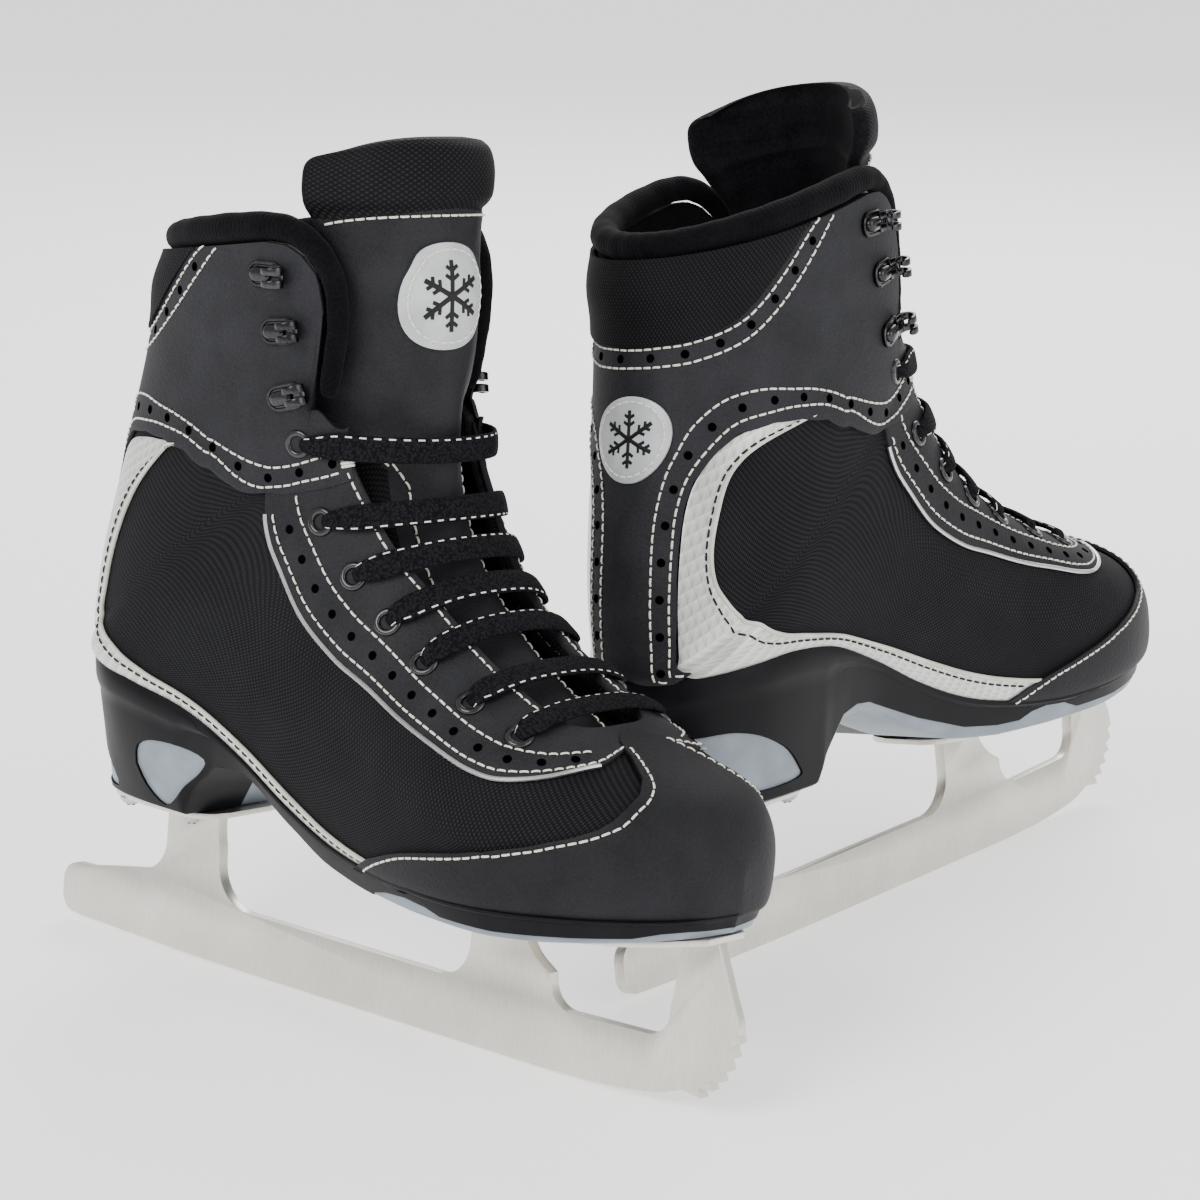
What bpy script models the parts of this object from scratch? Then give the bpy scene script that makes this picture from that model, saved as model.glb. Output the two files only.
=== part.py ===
"""A pair of figure skates, each a padded boot on a moulded heel and sole with a screwed-on steel blade.

Every piece of a skate is drawn once in the skate's own frame, in millimetres: x runs forward from the
blade's tail, y to the wearer's left and z up from the ice, with the blade in the plane y = 0. The left
skate is the mirror image of the right one. Scene units are metres, +Z up.
"""

import math

import bmesh
import bpy
from mathutils import Matrix, Vector

MM = 0.001
GAP = 0.3  # clearance between pieces that touch

# Where each skate stands: tail position, heading and sideways lean of its frame.
RIGHT_PLACE = dict(x=-176.6, y=43.4, heading=-41.0, lean=-6.2)
LEFT_PLACE = dict(x=7.1, y=-43.4, heading=51.3, lean=-8.2)

# Blade
BLADE_THICK = 3.9
RUNNER_FLAT = (88.0, 214.0)  # stretch of the runner that lies on the ice
HEEL_PLATE_TOP = 52.2
SOLE_PLATE_TOP = 47.8
PLATE_THICK = 2.6
TEETH = 6
TOOTH_TOP = (286.0, 25.0)
TOOTH_BOTTOM = (273.5, 5.6)

# Boot walls
SHELL_THICK = 2.4
LINING_THICK = 2.2
LINING_GAP = 0.8  # room for the glue and foam between the wall and its lining
FACING_THICK = 4.0
OVERLAY_THICK = 1.0
OVERLAY_LIFT = 0.5  # stand-off of the sewn-on panels
OVERLAY_OUT = OVERLAY_LIFT + OVERLAY_THICK

# Lacing: where each eyelet and hook sits, as section and angle around the section.
EYELETS = ((5.96, 143), (7.09, 140), (8.37, 134), (9.56, 128), (10.87, 122), (12.59, 118), (17.0, 117.5))
BAR_TOPS = (5.9, 6.97, 8.2, 9.15, 10.05, 11.1, 13.0)  # section where each crossing of the lace is highest
HOOKS = ((18.9, 113), (20.85, 107.5), (22.6, 102))
EYELET_HOLE = 2.7
LACE_RADIUS = 1.6

# Collar, tongue and badges
COLLAR_RADIUS = 4.6
TONGUE_THICK = 7.0
TONGUE_SPLIT = 15.3  # section where the tongue's upper half bends forward
TONGUE_HINGE = (160.5, 193.0)
# Free top of the tongue: height, front x, half width, sweep of the sides backwards, drop of the sides.
WINGS = (
    (250.0, 154.8, 30.0, 25.0, 0.0),
    (254.0, 155.0, 34.5, 27.5, 0.0),
    (259.0, 155.0, 37.0, 29.0, 1.5),
    (265.0, 154.2, 36.5, 27.5, 4.0),
    (269.0, 152.4, 33.5, 24.0, 6.5),
    (271.0, 149.8, 29.0, 20.0, 7.0),
)
TONGUE_BADGE = (21.2, 16.0)  # section and radius
BACK_BADGE = (20.45, 13.5)

BLACK = (0.018, 0.018, 0.021)
CHARCOAL = (0.045, 0.045, 0.05)
SILVER = (0.62, 0.62, 0.6)
GREY_CORE = (0.32, 0.36, 0.4)
STEEL = (0.72, 0.69, 0.64)
GUNMETAL = (0.1, 0.1, 0.11)

# Boot sections from the toe tip to the collar. Each runs from a point low on the sole or back line to a
# point on the top or front line: sole x, sole z, top x, top z, half width at the sole, greatest half
# width, where that is between the two points, and sideways shift towards the inside of the foot.
SECTIONS = (
    (276.0, 60.5, 276.0, 71.0, 0.0, 0.0, 0.50, 5.0),
    (273.4, 60.4, 273.4, 80.5, 12.5, 14.0, 0.42, 5.0),
    (267.5, 60.0, 268.0, 89.0, 22.0, 24.5, 0.37, 4.7),
    (258.0, 59.4, 259.0, 95.5, 30.5, 33.5, 0.34, 4.2),
    (245.0, 58.6, 247.0, 100.5, 37.5, 40.5, 0.33, 3.2),
    (230.0, 57.8, 234.0, 105.0, 42.5, 45.4, 0.33, 1.8),
    (213.0, 57.2, 219.5, 111.0, 44.5, 47.5, 0.34, 0.6),
    (194.0, 57.3, 204.0, 118.5, 43.0, 46.6, 0.37, 0.0),
    (173.0, 58.8, 190.0, 127.5, 38.5, 43.4, 0.40, 0.0),
    (151.0, 63.0, 178.5, 138.0, 34.0, 40.2, 0.43, 0.4),
    (129.0, 71.5, 169.5, 149.0, 31.0, 38.2, 0.45, 0.6),
    (107.0, 83.0, 164.0, 160.0, 30.0, 37.2, 0.46, 0.6),
    (85.0, 92.5, 161.5, 170.5, 31.0, 36.8, 0.47, 0.4),
    (63.0, 96.4, 161.0, 179.0, 31.5, 36.8, 0.48, 0.0),
    (45.0, 97.3, 161.0, 186.0, 28.5, 37.0, 0.49, 0.0),
    (31.0, 97.8, 161.5, 191.0, 19.0, 37.2, 0.50, 0.0),
    (21.5, 98.2, 162.0, 195.5, 0.0, 37.4, 0.50, 0.0),
    (21.0, 107.0, 163.0, 200.5, 0.0, 37.8, 0.50, 0.0),
    (23.0, 122.0, 164.0, 206.5, 0.0, 38.0, 0.50, 0.0),
    (27.5, 141.0, 164.5, 213.0, 0.0, 38.2, 0.50, 0.0),
    (33.5, 162.0, 164.5, 220.0, 0.0, 38.4, 0.50, 0.0),
    (39.0, 183.0, 164.0, 227.0, 0.0, 38.7, 0.50, 0.0),
    (43.5, 201.5, 162.5, 234.0, 0.0, 39.2, 0.50, 0.0),
    (46.5, 215.0, 160.5, 239.5, 0.0, 39.8, 0.50, 0.0),
    (49.5, 225.5, 158.5, 244.0, 0.0, 40.2, 0.50, 0.0),
)
LAST = len(SECTIONS) - 1
ARCH_TILT = ((7.0, 0.0), (8, 1.2), (9, 2.6), (10, 3.8), (11, 4.4), (12, 4.4), (13, 3.6), (14, 2.2), (15, 0.6), (15.5, 0.0))
# Edges beside the throat, as (section, angle): where the boot's wall ends and where the lace facing ends.
WALL_EDGE = (
    (5.3, 180), (5.38, 165), (5.5, 150), (5.7, 138), (5.96, 134), (7.1, 131), (8.4, 125), (9.6, 119.5), (10.9, 114.5), (12.6, 111.5),
    (17.75, 111.5), (18.1, 119.5), (21.0, 119.8), (22.3, 117.5), (23.2, 112.5), (23.7, 107), (24.0, 99),
)
THROAT_EDGE = ((5.5, 170), (5.85, 163), (6.8, 162), (8.2, 158), (9.5, 151), (10.8, 144), (12.7, 137), (17.2, 134))
# Lower edge of the ankle cuff, as (angle, section): a strip down the back, then the band round the ankle.
CUFF_EDGE = (
    (0, 16.3), (21, 16.3), (26, 19.3), (32, 19.95), (46, 20.2), (60, 20.0), (72, 19.7), (82, 19.1), (91, 18.35),
    (98, 17.4), (104, 16.4), (111, 15.1), (120, 15.1),
)
# Back edge of the toe cap, as (angle, section).
CAP_EDGE = (
    (4, 8.2), (34, 7.8), (57, 7.06), (75, 6.3), (89, 5.6), (97, 4.5), (106, 3.8), (122, 3.22), (145, 3.15),
    (156, 3.4), (165, 4.0), (171, 4.8), (180, 5.2),
)
# The foxing from the tip beside the ankle round the heel to the toe: outer and inner edge, each (section, angle).
FOXING = (
    ((19.4, 74), (19.3, 76)), ((19.65, 62), (19.3, 69)), ((19.7, 48), (19.1, 62)), ((19.2, 36), (18.6, 56)),
    ((18.6, 31), (17.9, 52)), ((17.8, 31), (17.1, 50)), ((17.0, 31), (16.3, 51)), ((16.3, 29), (15.5, 50)),
    ((15.6, 20), (14.8, 44)), ((15.0, 6), (14.2, 34)), ((14.0, 6), (13.5, 27)), ((13.0, 6), (12.7, 24)),
    ((12.0, 6), (11.8, 24)), ((11.0, 6), (11.0, 25)), ((10.0, 6), (10.0, 26)), ((9.2, 6), (9.2, 25)),
    ((8.5, 6), (8.4, 18)),
)


# ---------------------------------------------------------------- boot surface


def lerp_table(table, at):
    """Value of a (place, value) table at a place, in straight steps."""
    if at <= table[0][0]:
        return table[0][1]
    for (a, va), (b, vb) in zip(table, table[1:]):
        if at <= b:
            return va + (vb - va) * (at - a) / (b - a)
    return table[-1][1]


def section(at):
    """The section's eight numbers at a real-valued place along the boot, on a Catmull-Rom curve."""
    at = min(max(at, 0.0), LAST)
    i = min(int(at), LAST - 1)
    f = at - i
    rows = [SECTIONS[min(max(j, 0), LAST)] for j in (i - 1, i, i + 1, i + 2)]
    found = []
    for p0, p1, p2, p3 in zip(*rows):
        slope1, slope2 = (p2 - p0) / 2, (p3 - p1) / 2
        if p1 == p2 == 0.0:
            slope1 = slope2 = 0.0
        found.append(
            p1 * (2 * f**3 - 3 * f**2 + 1) + slope1 * (f**3 - 2 * f**2 + f)
            + p2 * (3 * f**2 - 2 * f**3) + slope2 * (f**3 - f**2)
        )
    found[4] = max(found[4], 0.0)
    return found


def arch_tilt(at):
    """How much higher the boot's sole edge is on the inside of the foot than in the middle."""
    return lerp_table(ARCH_TILT, at)


def boot_point(at, around, side):
    """A point of the boot's outer surface: around runs from 0 at the sole or back to 180 on top or in front."""
    sole_x, sole_z, top_x, top_z, low, wide, waist, shift = section(at)
    angle = math.radians(min(max(around, 0.0), 180.0))
    if around < 90:
        power = 0.92
        half = low + (wide - low) * math.sin(angle) ** power
        along = waist * (1 - max(math.cos(angle), 0.0) ** power)
    else:
        power = 0.86
        half = wide * max(math.cos(angle - math.pi / 2), 0.0) ** power
        along = waist + (1 - waist) * math.sin(angle - math.pi / 2) ** power
    x = sole_x + (top_x - sole_x) * along
    z = sole_z + (top_z - sole_z) * along + side * arch_tilt(at) * max(1 - along / waist, 0.0)
    return Vector((x, shift + side * half, z))


def boot_normal(at, around, side):
    """Outward unit normal of the boot's surface, kept in the middle plane on its centre lines."""
    if at < 0.02:
        return Vector((1.0, 0.0, around / 120 - 0.75)).normalized()
    if around > 179 or (around < 1 and section(at)[4] < 0.5):
        normal = side_normal(at, around, 1) + side_normal(at, around, -1)
        return Vector((normal.x, 0.0, normal.z)).normalized()
    return side_normal(at, around, side)


def side_normal(at, around, side):
    step_at, step_around = 0.45, 4.0
    a0, a1 = max(at - step_at, 0.0), min(at + step_at, LAST)
    r0, r1 = max(around - step_around, 0.5), min(around + step_around, 179.5)
    along = boot_point(a1, around, side) - boot_point(a0, around, side)
    across = boot_point(at, r1, side) - boot_point(at, r0, side)
    return (along.cross(across) * side).normalized()


def boot_at(at, around, side, out=0.0):
    """A point that far outside the boot's surface."""
    return boot_point(at, around, side) + boot_normal(at, around, side) * out


# ---------------------------------------------------------------- mesh helpers


def material(name, colour, rough, metal=0.0):
    made = bpy.data.materials.get(name)
    if made is None:
        made = bpy.data.materials.new(name)
        made.use_nodes = True
        shader = made.node_tree.nodes["Principled BSDF"]
        shader.inputs["Base Color"].default_value = (*colour, 1)
        shader.inputs["Roughness"].default_value = rough
        shader.inputs["Metallic"].default_value = metal
    return made


def add_object(name, mesh, look, skate, smooth=35):
    """A named object of this mesh in the skate's frame."""
    obj = bpy.data.objects.new(name, mesh)
    (skate["cutters"] if look is None else skate["collection"]).objects.link(obj)
    obj.parent = skate["frame"]
    if look is None:
        obj.hide_render = True
        obj.display_type = "WIRE"
    else:
        mesh.materials.append(look)
        mesh.shade_smooth()
        mesh.set_sharp_from_angle(angle=math.radians(smooth))
    return obj


def mesh_from(points, faces, skate):
    """A mesh of points in millimetres, mirrored for the left skate, with close points made one."""
    mesh = bpy.data.meshes.new("mesh")
    mesh.from_pydata([(p[0] * MM, p[1] * MM * skate["mirror"], p[2] * MM) for p in points], [], faces)
    work = bmesh.new()
    work.from_mesh(mesh)
    bmesh.ops.remove_doubles(work, verts=work.verts, dist=0.02 * MM)
    bmesh.ops.dissolve_degenerate(work, dist=0.005 * MM, edges=work.edges)
    bmesh.ops.recalc_face_normals(work, faces=work.faces)
    if work.calc_volume(signed=True) < 0:
        bmesh.ops.reverse_faces(work, faces=work.faces)
    work.to_mesh(mesh)
    work.free()
    return mesh


def grid_faces(rows, columns, wrap=False):
    """Quads between the points of a grid stored row by row."""
    last = columns if wrap else columns - 1
    return [
        (r * columns + c, r * columns + (c + 1) % columns, (r + 1) * columns + (c + 1) % columns, (r + 1) * columns + c)
        for r in range(rows - 1)
        for c in range(last)
    ]


def closed_loft(name, rings, look, skate, smooth=35):
    """A solid through rings of equal length, with both ends capped."""
    count = len(rings[0])
    points = [p for ring in rings for p in ring]
    faces = grid_faces(len(rings), count, wrap=True)
    faces.append(tuple(range(count))[::-1])
    faces.append(tuple(range((len(rings) - 1) * count, len(rings) * count)))
    return add_object(name, mesh_from(points, faces, skate), look, skate, smooth)


def wall(name, grid, thick, look, skate, smooth=50):
    """A solid wall: a grid of (outer point, outward normal) rows and its copy one thickness inside."""
    rows, columns = len(grid), len(grid[0])
    outer = [point for row in grid for point, _ in row]
    inner = [point - normal * thick for row in grid for point, normal in row]
    faces = grid_faces(rows, columns)
    back = [tuple(i + len(outer) for i in reversed(face)) for face in faces]
    border = [(0, c) for c in range(columns)] + [(r, columns - 1) for r in range(1, rows)]
    border += [(rows - 1, c) for c in range(columns - 2, -1, -1)] + [(r, 0) for r in range(rows - 2, 0, -1)]
    ids = [r * columns + c for r, c in border]
    sides = [(a, a + len(outer), b + len(outer), b) for a, b in zip(ids, ids[1:] + ids[:1])]
    return add_object(name, mesh_from(outer + inner, faces + back + sides, skate), look, skate, smooth)


def boolean(obj, other, operation):
    """Cuts, joins or intersects, leaving the plain result as the object's mesh."""
    modifier = obj.modifiers.new(operation.title(), "BOOLEAN")
    modifier.operation = operation
    modifier.object = other
    bpy.context.view_layer.update()
    graph = bpy.context.evaluated_depsgraph_get()
    mesh = bpy.data.meshes.new_from_object(obj.evaluated_get(graph))
    obj.modifiers.remove(modifier)
    obj.data = mesh
    return obj


def remove(obj):
    bpy.data.objects.remove(obj, do_unlink=True)


def extruded(name, outline, low, high, look, skate):
    """A flat outline in the x-z plane, given a thickness from y = low to y = high."""
    rings = [[(x, y, z) for x, z in outline] for y in (low, high)]
    return closed_loft(name, rings, look, skate)


def arc(centre, radius, start, end, steps):
    """Points of an arc, angles in degrees."""
    return [
        (
            centre[0] + radius * math.cos(math.radians(start + (end - start) * i / steps)),
            centre[1] + radius * math.sin(math.radians(start + (end - start) * i / steps)),
        )
        for i in range(steps + 1)
    ]


def disc(name, centre, normal, radius, height, look, skate, sides=10, dome=0.0):
    """A round button standing on a surface, with an optional domed top."""
    normal = Vector(normal).normalized()
    first = normal.orthogonal().normalized()
    second = normal.cross(first)
    rings = []
    levels = [(0.0, 1.0), (height, 1.0)] + ([(height + dome * 0.7, 0.7), (height + dome, 0.25)] if dome else [])
    for up, scale in levels:
        ring = []
        for i in range(sides):
            turn = 2 * math.pi * i / sides
            offset = (first * math.cos(turn) + second * math.sin(turn)) * radius * scale
            ring.append(Vector(centre) + normal * up + offset)
        rings.append(ring)
    return closed_loft(name, rings, look, skate)


# ---------------------------------------------------------------- blade


def runner_outline():
    """Side view of the runner: tail, running edge, toe picks, then stanchions and windows back to the tail."""
    top_z = SOLE_PLATE_TOP - PLATE_THICK / 2
    heel_z = HEEL_PLATE_TOP - PLATE_THICK / 2
    points = arc((6.5, 8.3), 6.5, 180, 250, 3)
    points += [(30, 1.1), (60, 0.35), (RUNNER_FLAT[0], 0.0), (RUNNER_FLAT[1], 0.0)]
    points += [(238, 1.0), (256, 3.2), (266.5, 6.4)]
    for i in range(TEETH):
        low = TEETH - 1 - i
        part = low / (TEETH - 1)
        bow = 2.4 * math.sin(math.pi * part)
        x = TOOTH_BOTTOM[0] + (TOOTH_TOP[0] - TOOTH_BOTTOM[0]) * (1 - part) + bow * 0.8
        z = TOOTH_BOTTOM[1] + (TOOTH_TOP[1] - TOOTH_BOTTOM[1]) * (1 - part) - bow * 0.6
        points += [(x, z), (x - 1.2, z + 3.0)]
    points += [(284.6, 31.0), (281.5, 38.0), (275.5, top_z)]
    points += [(262.8, top_z), (260.8, 30.0)] + arc((251.5, 28.5), 8.5, 0, -90, 3)
    points += arc((222.0, 27.5), 8.5, -90, -180, 3) + [(205.0, 33.0), (201.0, top_z)]
    points += [(181.5, top_z), (181.0, 32.0)] + arc((168.5, 31.5), 12.5, 0, -90, 4)
    points += arc((86.0, 33.0), 14.0, -95, -180, 4) + [(71.0, 42.0), (70.8, heel_z)]
    points += [(48.0, heel_z), (47.8, 38.0)] + arc((35.8, 35.5), 12.0, 0, -82, 3)
    points += [(12.0, 18.9)] + arc((6.5, 12.5), 6.3, 110, 180, 2)
    return points


def plate_ring(x, half, top, thick):
    return [(x, -half, top - thick), (x, half, top - thick), (x, half, top), (x, -half, top)]


def make_blade(skate, steel):
    """Runner, heel plate and sole plate, welded into one piece."""
    blade = extruded(skate["name"] + "_blade", runner_outline(), -BLADE_THICK / 2, BLADE_THICK / 2, steel, skate)
    heel = [(33.5, 8), (36, 17), (45, 21.5), (70, 23.5), (80, 20), (83, 8)]
    sole = [(160, 7), (164, 17), (176, 24), (215, 29), (250, 26), (270, 17), (279, 6)]
    for table, top in ((heel, HEEL_PLATE_TOP), (sole, SOLE_PLATE_TOP)):
        rings = [plate_ring(x, half, top, PLATE_THICK) for x, half in table]
        plate = closed_loft("plate", rings, None, skate)
        boolean(blade, plate, "UNION")
        remove(plate)
    blade.data.shade_smooth()
    blade.data.set_sharp_from_angle(angle=math.radians(35))
    return blade


def make_screws(skate, look):
    """Dome-headed screws below the plates, two pairs at the heel and one at the sole."""
    places = [(44, 15), (44, -15), (73, 16), (73, -16)]
    for number, (x, y) in enumerate(places, 1):
        under = (x, y, HEEL_PLATE_TOP - PLATE_THICK - GAP)
        disc(f"{skate['name']}_heel_screw_{number}", under, (0, 0, -1), 3.6, 0.8, look, skate, 8, 1.5)
    for number, (x, y) in enumerate([(190, 18), (190, -18)], 1):
        under = (x, y, SOLE_PLATE_TOP - PLATE_THICK - GAP)
        disc(f"{skate['name']}_sole_screw_{number}", under, (0, 0, -1), 3.6, 0.8, look, skate, 8, 1.5)


# ---------------------------------------------------------------- sole


# Sole unit sections from the back of the heel to the toe: the boot section above, how far the lip stands
# out lengthwise, then x, z and half width at the bottom.
SOLE = (
    (16.0, -2.9, 31.0, 52.8, 0.0),
    (15.7, -2.2, 32.0, 52.8, 8.5),
    (15.3, -1.4, 34.5, 52.8, 14.5),
    (14.7, 0.0, 40.0, 52.8, 20.0),
    (14.0, 0.0, 49.0, 52.8, 23.5),
    (13.0, 0.0, 63.0, 52.8, 26.0),
    (12.25, 0.0, 78.5, 52.8, 27.0),
    (12.0, 0.0, 83.0, 61.0, 27.5),
    (11.5, 0.0, 92.0, 71.0, 28.5),
    (11.0, 0.0, 105.0, 71.5, 28.5),
    (10.0, 0.0, 128.0, 60.0, 29.5),
    (9.0, 0.0, 150.0, 51.5, 32.5),
    (8.0, 0.0, 173.0, 48.6, 37.0),
    (7.0, 0.0, 195.0, 48.1, 41.5),
    (6.0, 0.0, 216.0, 48.1, 43.5),
    (5.0, 0.0, 233.0, 49.0, 41.5),
    (4.0, 0.0, 247.5, 50.6, 36.5),
    (3.0, 0.3, 259.5, 52.2, 29.5),
    (2.0, 0.8, 268.5, 53.6, 21.0),
    (1.0, 1.4, 274.5, 54.6, 11.5),
    (0.0, 2.0, 277.0, 55.2, 0.0),
)
SOLE_LIP = 2.4  # how far the sole stands out beside the boot's feather line


def sole_tilt(at):
    """The arch tilt in straight steps between sections, like the feather line that the sole follows."""
    i = min(int(at), LAST - 1)
    return arch_tilt(i) + (arch_tilt(i + 1) - arch_tilt(i)) * (at - i)


def sole_top(at):
    """Point, half width and sideways shift of the boot's feather line, in straight steps between sections."""
    i = min(int(at), LAST - 1)
    near, far = SECTIONS[i], SECTIONS[i + 1]
    x, z, low, shift = (near[k] + (far[k] - near[k]) * (at - i) for k in (0, 1, 4, 7))
    return x, z, low, shift


def sole_ring(row, widen=0.0):
    """One section of the sole unit: walls that lean in towards the ground, between a tilted top and flat bottom."""
    at, lip, low_x, low_z, low_half = row
    top_x, top_z, feather, shift = sole_top(at)
    top_half = feather + SOLE_LIP if feather > 0 else 0.0
    profile = ((0.0, low_half * 0.94), (0.08, low_half), (0.72, top_half - 1.5), (0.86, top_half), (1.0, top_half))
    ring = []
    for side, levels in ((1, profile), (-1, profile[::-1])):
        rise = top_z - GAP + side * sole_tilt(at) * (top_half / feather if feather > 0 else 0) - low_z
        for part, half in levels:
            half = max(half, 0.0) + (widen if low_half > 0 else 0.0)
            ring.append((low_x + (top_x + lip - low_x) * part, shift * 0.6 + side * half, low_z + rise * part))
    return ring


def core_outline(grow):
    """Side view of the grey core: the wedge in the heel, the shank and the lower layer of the sole."""
    heel = [(57 - grow, 58 - grow), (90, 58 - grow), (92, 40), (300, 40), (300, 55.6 + grow), (262, 54.2 + grow)]
    top = [(236, 52.8 + grow), (196, 52.2 + grow), (168, 54.5 + grow), (146, 60.5 + grow), (122, 72.0 + grow)]
    return heel + top + [(100, 81.5 + grow), (84, 85 + grow), (66 - grow, 82 + grow), (58 - grow, 72)]


def make_sole(skate, rubber, core_look):
    name = skate["name"]
    rings = [sole_ring(row) for row in SOLE]
    outsole = closed_loft(name + "_outsole", rings, rubber, skate)
    core = closed_loft(name + "_sole_core", [sole_ring(row, widen=-1.6) for row in SOLE], core_look, skate)
    cutter = extruded("core_space", core_outline(GAP), -60, 60, None, skate)
    boolean(outsole, cutter, "DIFFERENCE")
    remove(cutter)
    keeper = extruded("core_shape", core_outline(0), -60, 60, None, skate)
    boolean(core, keeper, "INTERSECT")
    remove(keeper)


def make_insole(skate, look):
    """Stiff board with its foam cover, closing the bottom of the boot."""
    rings = []
    for at in (1.9, 3, 4, 5, 6, 7, 8, 9, 10, 11, 12, 13, 14, 14.8):
        x, z, _, _, low, _, _, shift = section(at)
        inside = low - SHELL_THICK - 4.4 - max(4.0 - at, 0.0)
        tilt = arch_tilt(at) * inside / low
        ring = [(x, shift + side * half, z + side * tilt + up) for side, half, up in
                ((-1, inside, 0.2), (1, inside, 0.2), (1, inside - 1.5, 3.4), (-1, inside - 1.5, 3.4))]
        rings.append(ring)
    closed_loft(skate["name"] + "_insole", rings, look, skate)


# ---------------------------------------------------------------- boot


def steps(start, end, count):
    return [start + (end - start) * i / count for i in range(count + 1)]


def boot_rows(places, side, out):
    """Rows of (point, outward normal) at rows of (section, angle) places."""
    return [[(boot_at(at, a, side, out), boot_normal(at, a, side)) for at, a in row] for row in places]


def boot_patch(name, places, side, out, thick, look, skate):
    """A wall over part of one side of the boot."""
    return wall(name, boot_rows(places, side, out), thick, look, skate)


def two_halves(name, places, out, thick, look, skate):
    """A wall over both sides of the boot, with the halves joined wherever their edges meet in the middle."""
    halves = [boot_rows(places, side, out) for side in (-1, 1)]
    rows, columns = len(places), len(places[0])
    size = rows * columns
    joined = [
        (a[0] - b[0]).length < 0.01 for row_a, row_b in zip(*halves) for a, b in zip(row_a, row_b)
    ]
    border = [(0, c) for c in range(columns)] + [(r, columns - 1) for r in range(1, rows)]
    border += [(rows - 1, c) for c in range(columns - 2, -1, -1)] + [(r, 0) for r in range(rows - 2, 0, -1)]
    ids = [r * columns + c for r, c in border]
    rims = [(a, b) for a, b in zip(ids, ids[1:] + ids[:1]) if not (joined[a] and joined[b])]
    points, faces = [], []
    for half in halves:
        base = len(points)
        points += [p for row in half for p, _ in row] + [p - n * thick for row in half for p, n in row]
        for a, b, c, d in grid_faces(rows, columns):
            for face in ((a, b, d), (b, c, d)):  # the same diagonals in every layer, so that layers stay parallel
                faces += [tuple(base + i for i in face), tuple(base + size + i for i in reversed(face))]
        faces += [(base + a, base + size + a, base + size + b, base + b) for a, b in rims]
    return add_object(name, mesh_from(points, faces, skate), look, skate, 50)


def wall_places(places, rise=0.0):
    """Places over the boot's wall, from this far above the sole, or the back line, to the edge beside the throat."""
    rows = []
    for at in places:
        start = min(lip_angle(at, rise), 60) if rise and at <= 16 else 0.0
        rows.append([(at, a) for a in clipped(WALL_ANGLES, start, lerp_table(WALL_EDGE, at))])
    return rows


WALL_ANGLES = (0, 30, 60, 90, 106, 120, 135, 150, 165, 180)
WALL_SECTIONS = (0, 0.6, 1.3, 2, 3, 4, 4.8, 5.3, 5.38, 5.5, 5.7, 6, 7, 8, 9, 10, 11, 12, 13, 14, 15, 16, 16.5, 17, 17.75, 18.1, 19, 20.4)
WALL_SECTIONS += (21.8, 22.8, 23.5, 24)


def make_walls(skate, woven, felt):
    """The upper and the lining inside it."""
    two_halves(skate["name"] + "_upper", wall_places(WALL_SECTIONS), 0.0, SHELL_THICK, woven, skate)
    places = wall_places(WALL_SECTIONS, rise=10)
    two_halves(skate["name"] + "_lining", places, -SHELL_THICK - LINING_GAP, LINING_THICK, felt, skate)


def clipped(stations, low, high):
    """Stations along the boot held between two ends, so that panels share the walls' lines."""
    return [min(max(at, low), high) for at in stations]


def lip_angle(at, rise=1.9):
    """The angle where the boot's surface is this far above the sole's edge."""
    sole_x, sole_z, top_x, top_z, _, _, waist, _ = section(at)
    length = math.hypot(top_x - sole_x, top_z - sole_z)
    return math.degrees(math.acos(max(1 - rise / (length * waist), 0.0) ** (1 / 0.92)))


def make_cuff(skate, look):
    """Ankle cuff with the strip down the heel, over the upper."""
    places = []
    for around in (0, 10, 21, 26, 30, 45, 60, 75, 90, 98, 106, 111.4, 115, 119):
        low = lerp_table(CUFF_EDGE, around)
        top = LAST
        while top > low and lerp_table(WALL_EDGE, top) < around:
            top -= 0.02
        if around > 111.5:
            low = 18.15
        stations = (16.3, 17, 17.75, 18.1, 19, 20.4, 21.8, 22.8, 23.5, 24)
        places.append([(at, around) for at in clipped(stations, low, top)])
    two_halves(skate["name"] + "_cuff", places, OVERLAY_OUT, OVERLAY_THICK, look, skate)


def make_toe_cap(skate, look):
    places = []
    for around in (0, 30, 45, 60, 75, 90, 97, 106, 120, 135, 150, 165, 180):
        row = clipped((0, 0.6, 1.3, 2, 3, 4, 5, 6, 7, 8.2), 0, lerp_table(CAP_EDGE, around))
        places.append([(at, max(around, lip_angle(at))) for at in row])
    two_halves(skate["name"] + "_toe_cap", places, OVERLAY_OUT, OVERLAY_THICK, look, skate)


def make_foxings(skate, look):
    for side, word in ((-1, "outer"), (1, "inner")):
        places = []
        for (low_at, low), (high_at, high) in FOXING:
            low = max(low, lip_angle(low_at))
            places.append([(low_at + (high_at - low_at) * part, low + (high - low) * part) for part in (0, 0.5, 1)])
        boot_patch(f"{skate['name']}_{word}_foxing", places, side, OVERLAY_OUT, OVERLAY_THICK, look, skate)


def make_facings(skate, look):
    """Thick strips beside the throat, each with its row of eyelet holes."""
    for side, word in ((-1, "outer"), (1, "inner")):
        places = []
        for at in (5.55, 6.3, 7.1, 7.7, 8.4, 9, 9.6, 10.2, 10.9, 11.7, 12.6, 14, 15.6, 16.6, 17.65):
            start, end = lerp_table(WALL_EDGE, at) + 0.7, lerp_table(THROAT_EDGE, at)
            places.append([(at, a) for a in steps(start, end, 3)])
        facing = boot_patch(f"{skate['name']}_{word}_facing", places, side, 0.0, FACING_THICK, look, skate)
        for at, around in EYELETS:
            centre, normal = boot_at(at, around, side, -9), boot_normal(at, around, side)
            hole = disc("eyelet_hole", centre, normal, EYELET_HOLE, 12, None, skate, 8)
            boolean(facing, hole, "DIFFERENCE")
            remove(hole)


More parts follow.
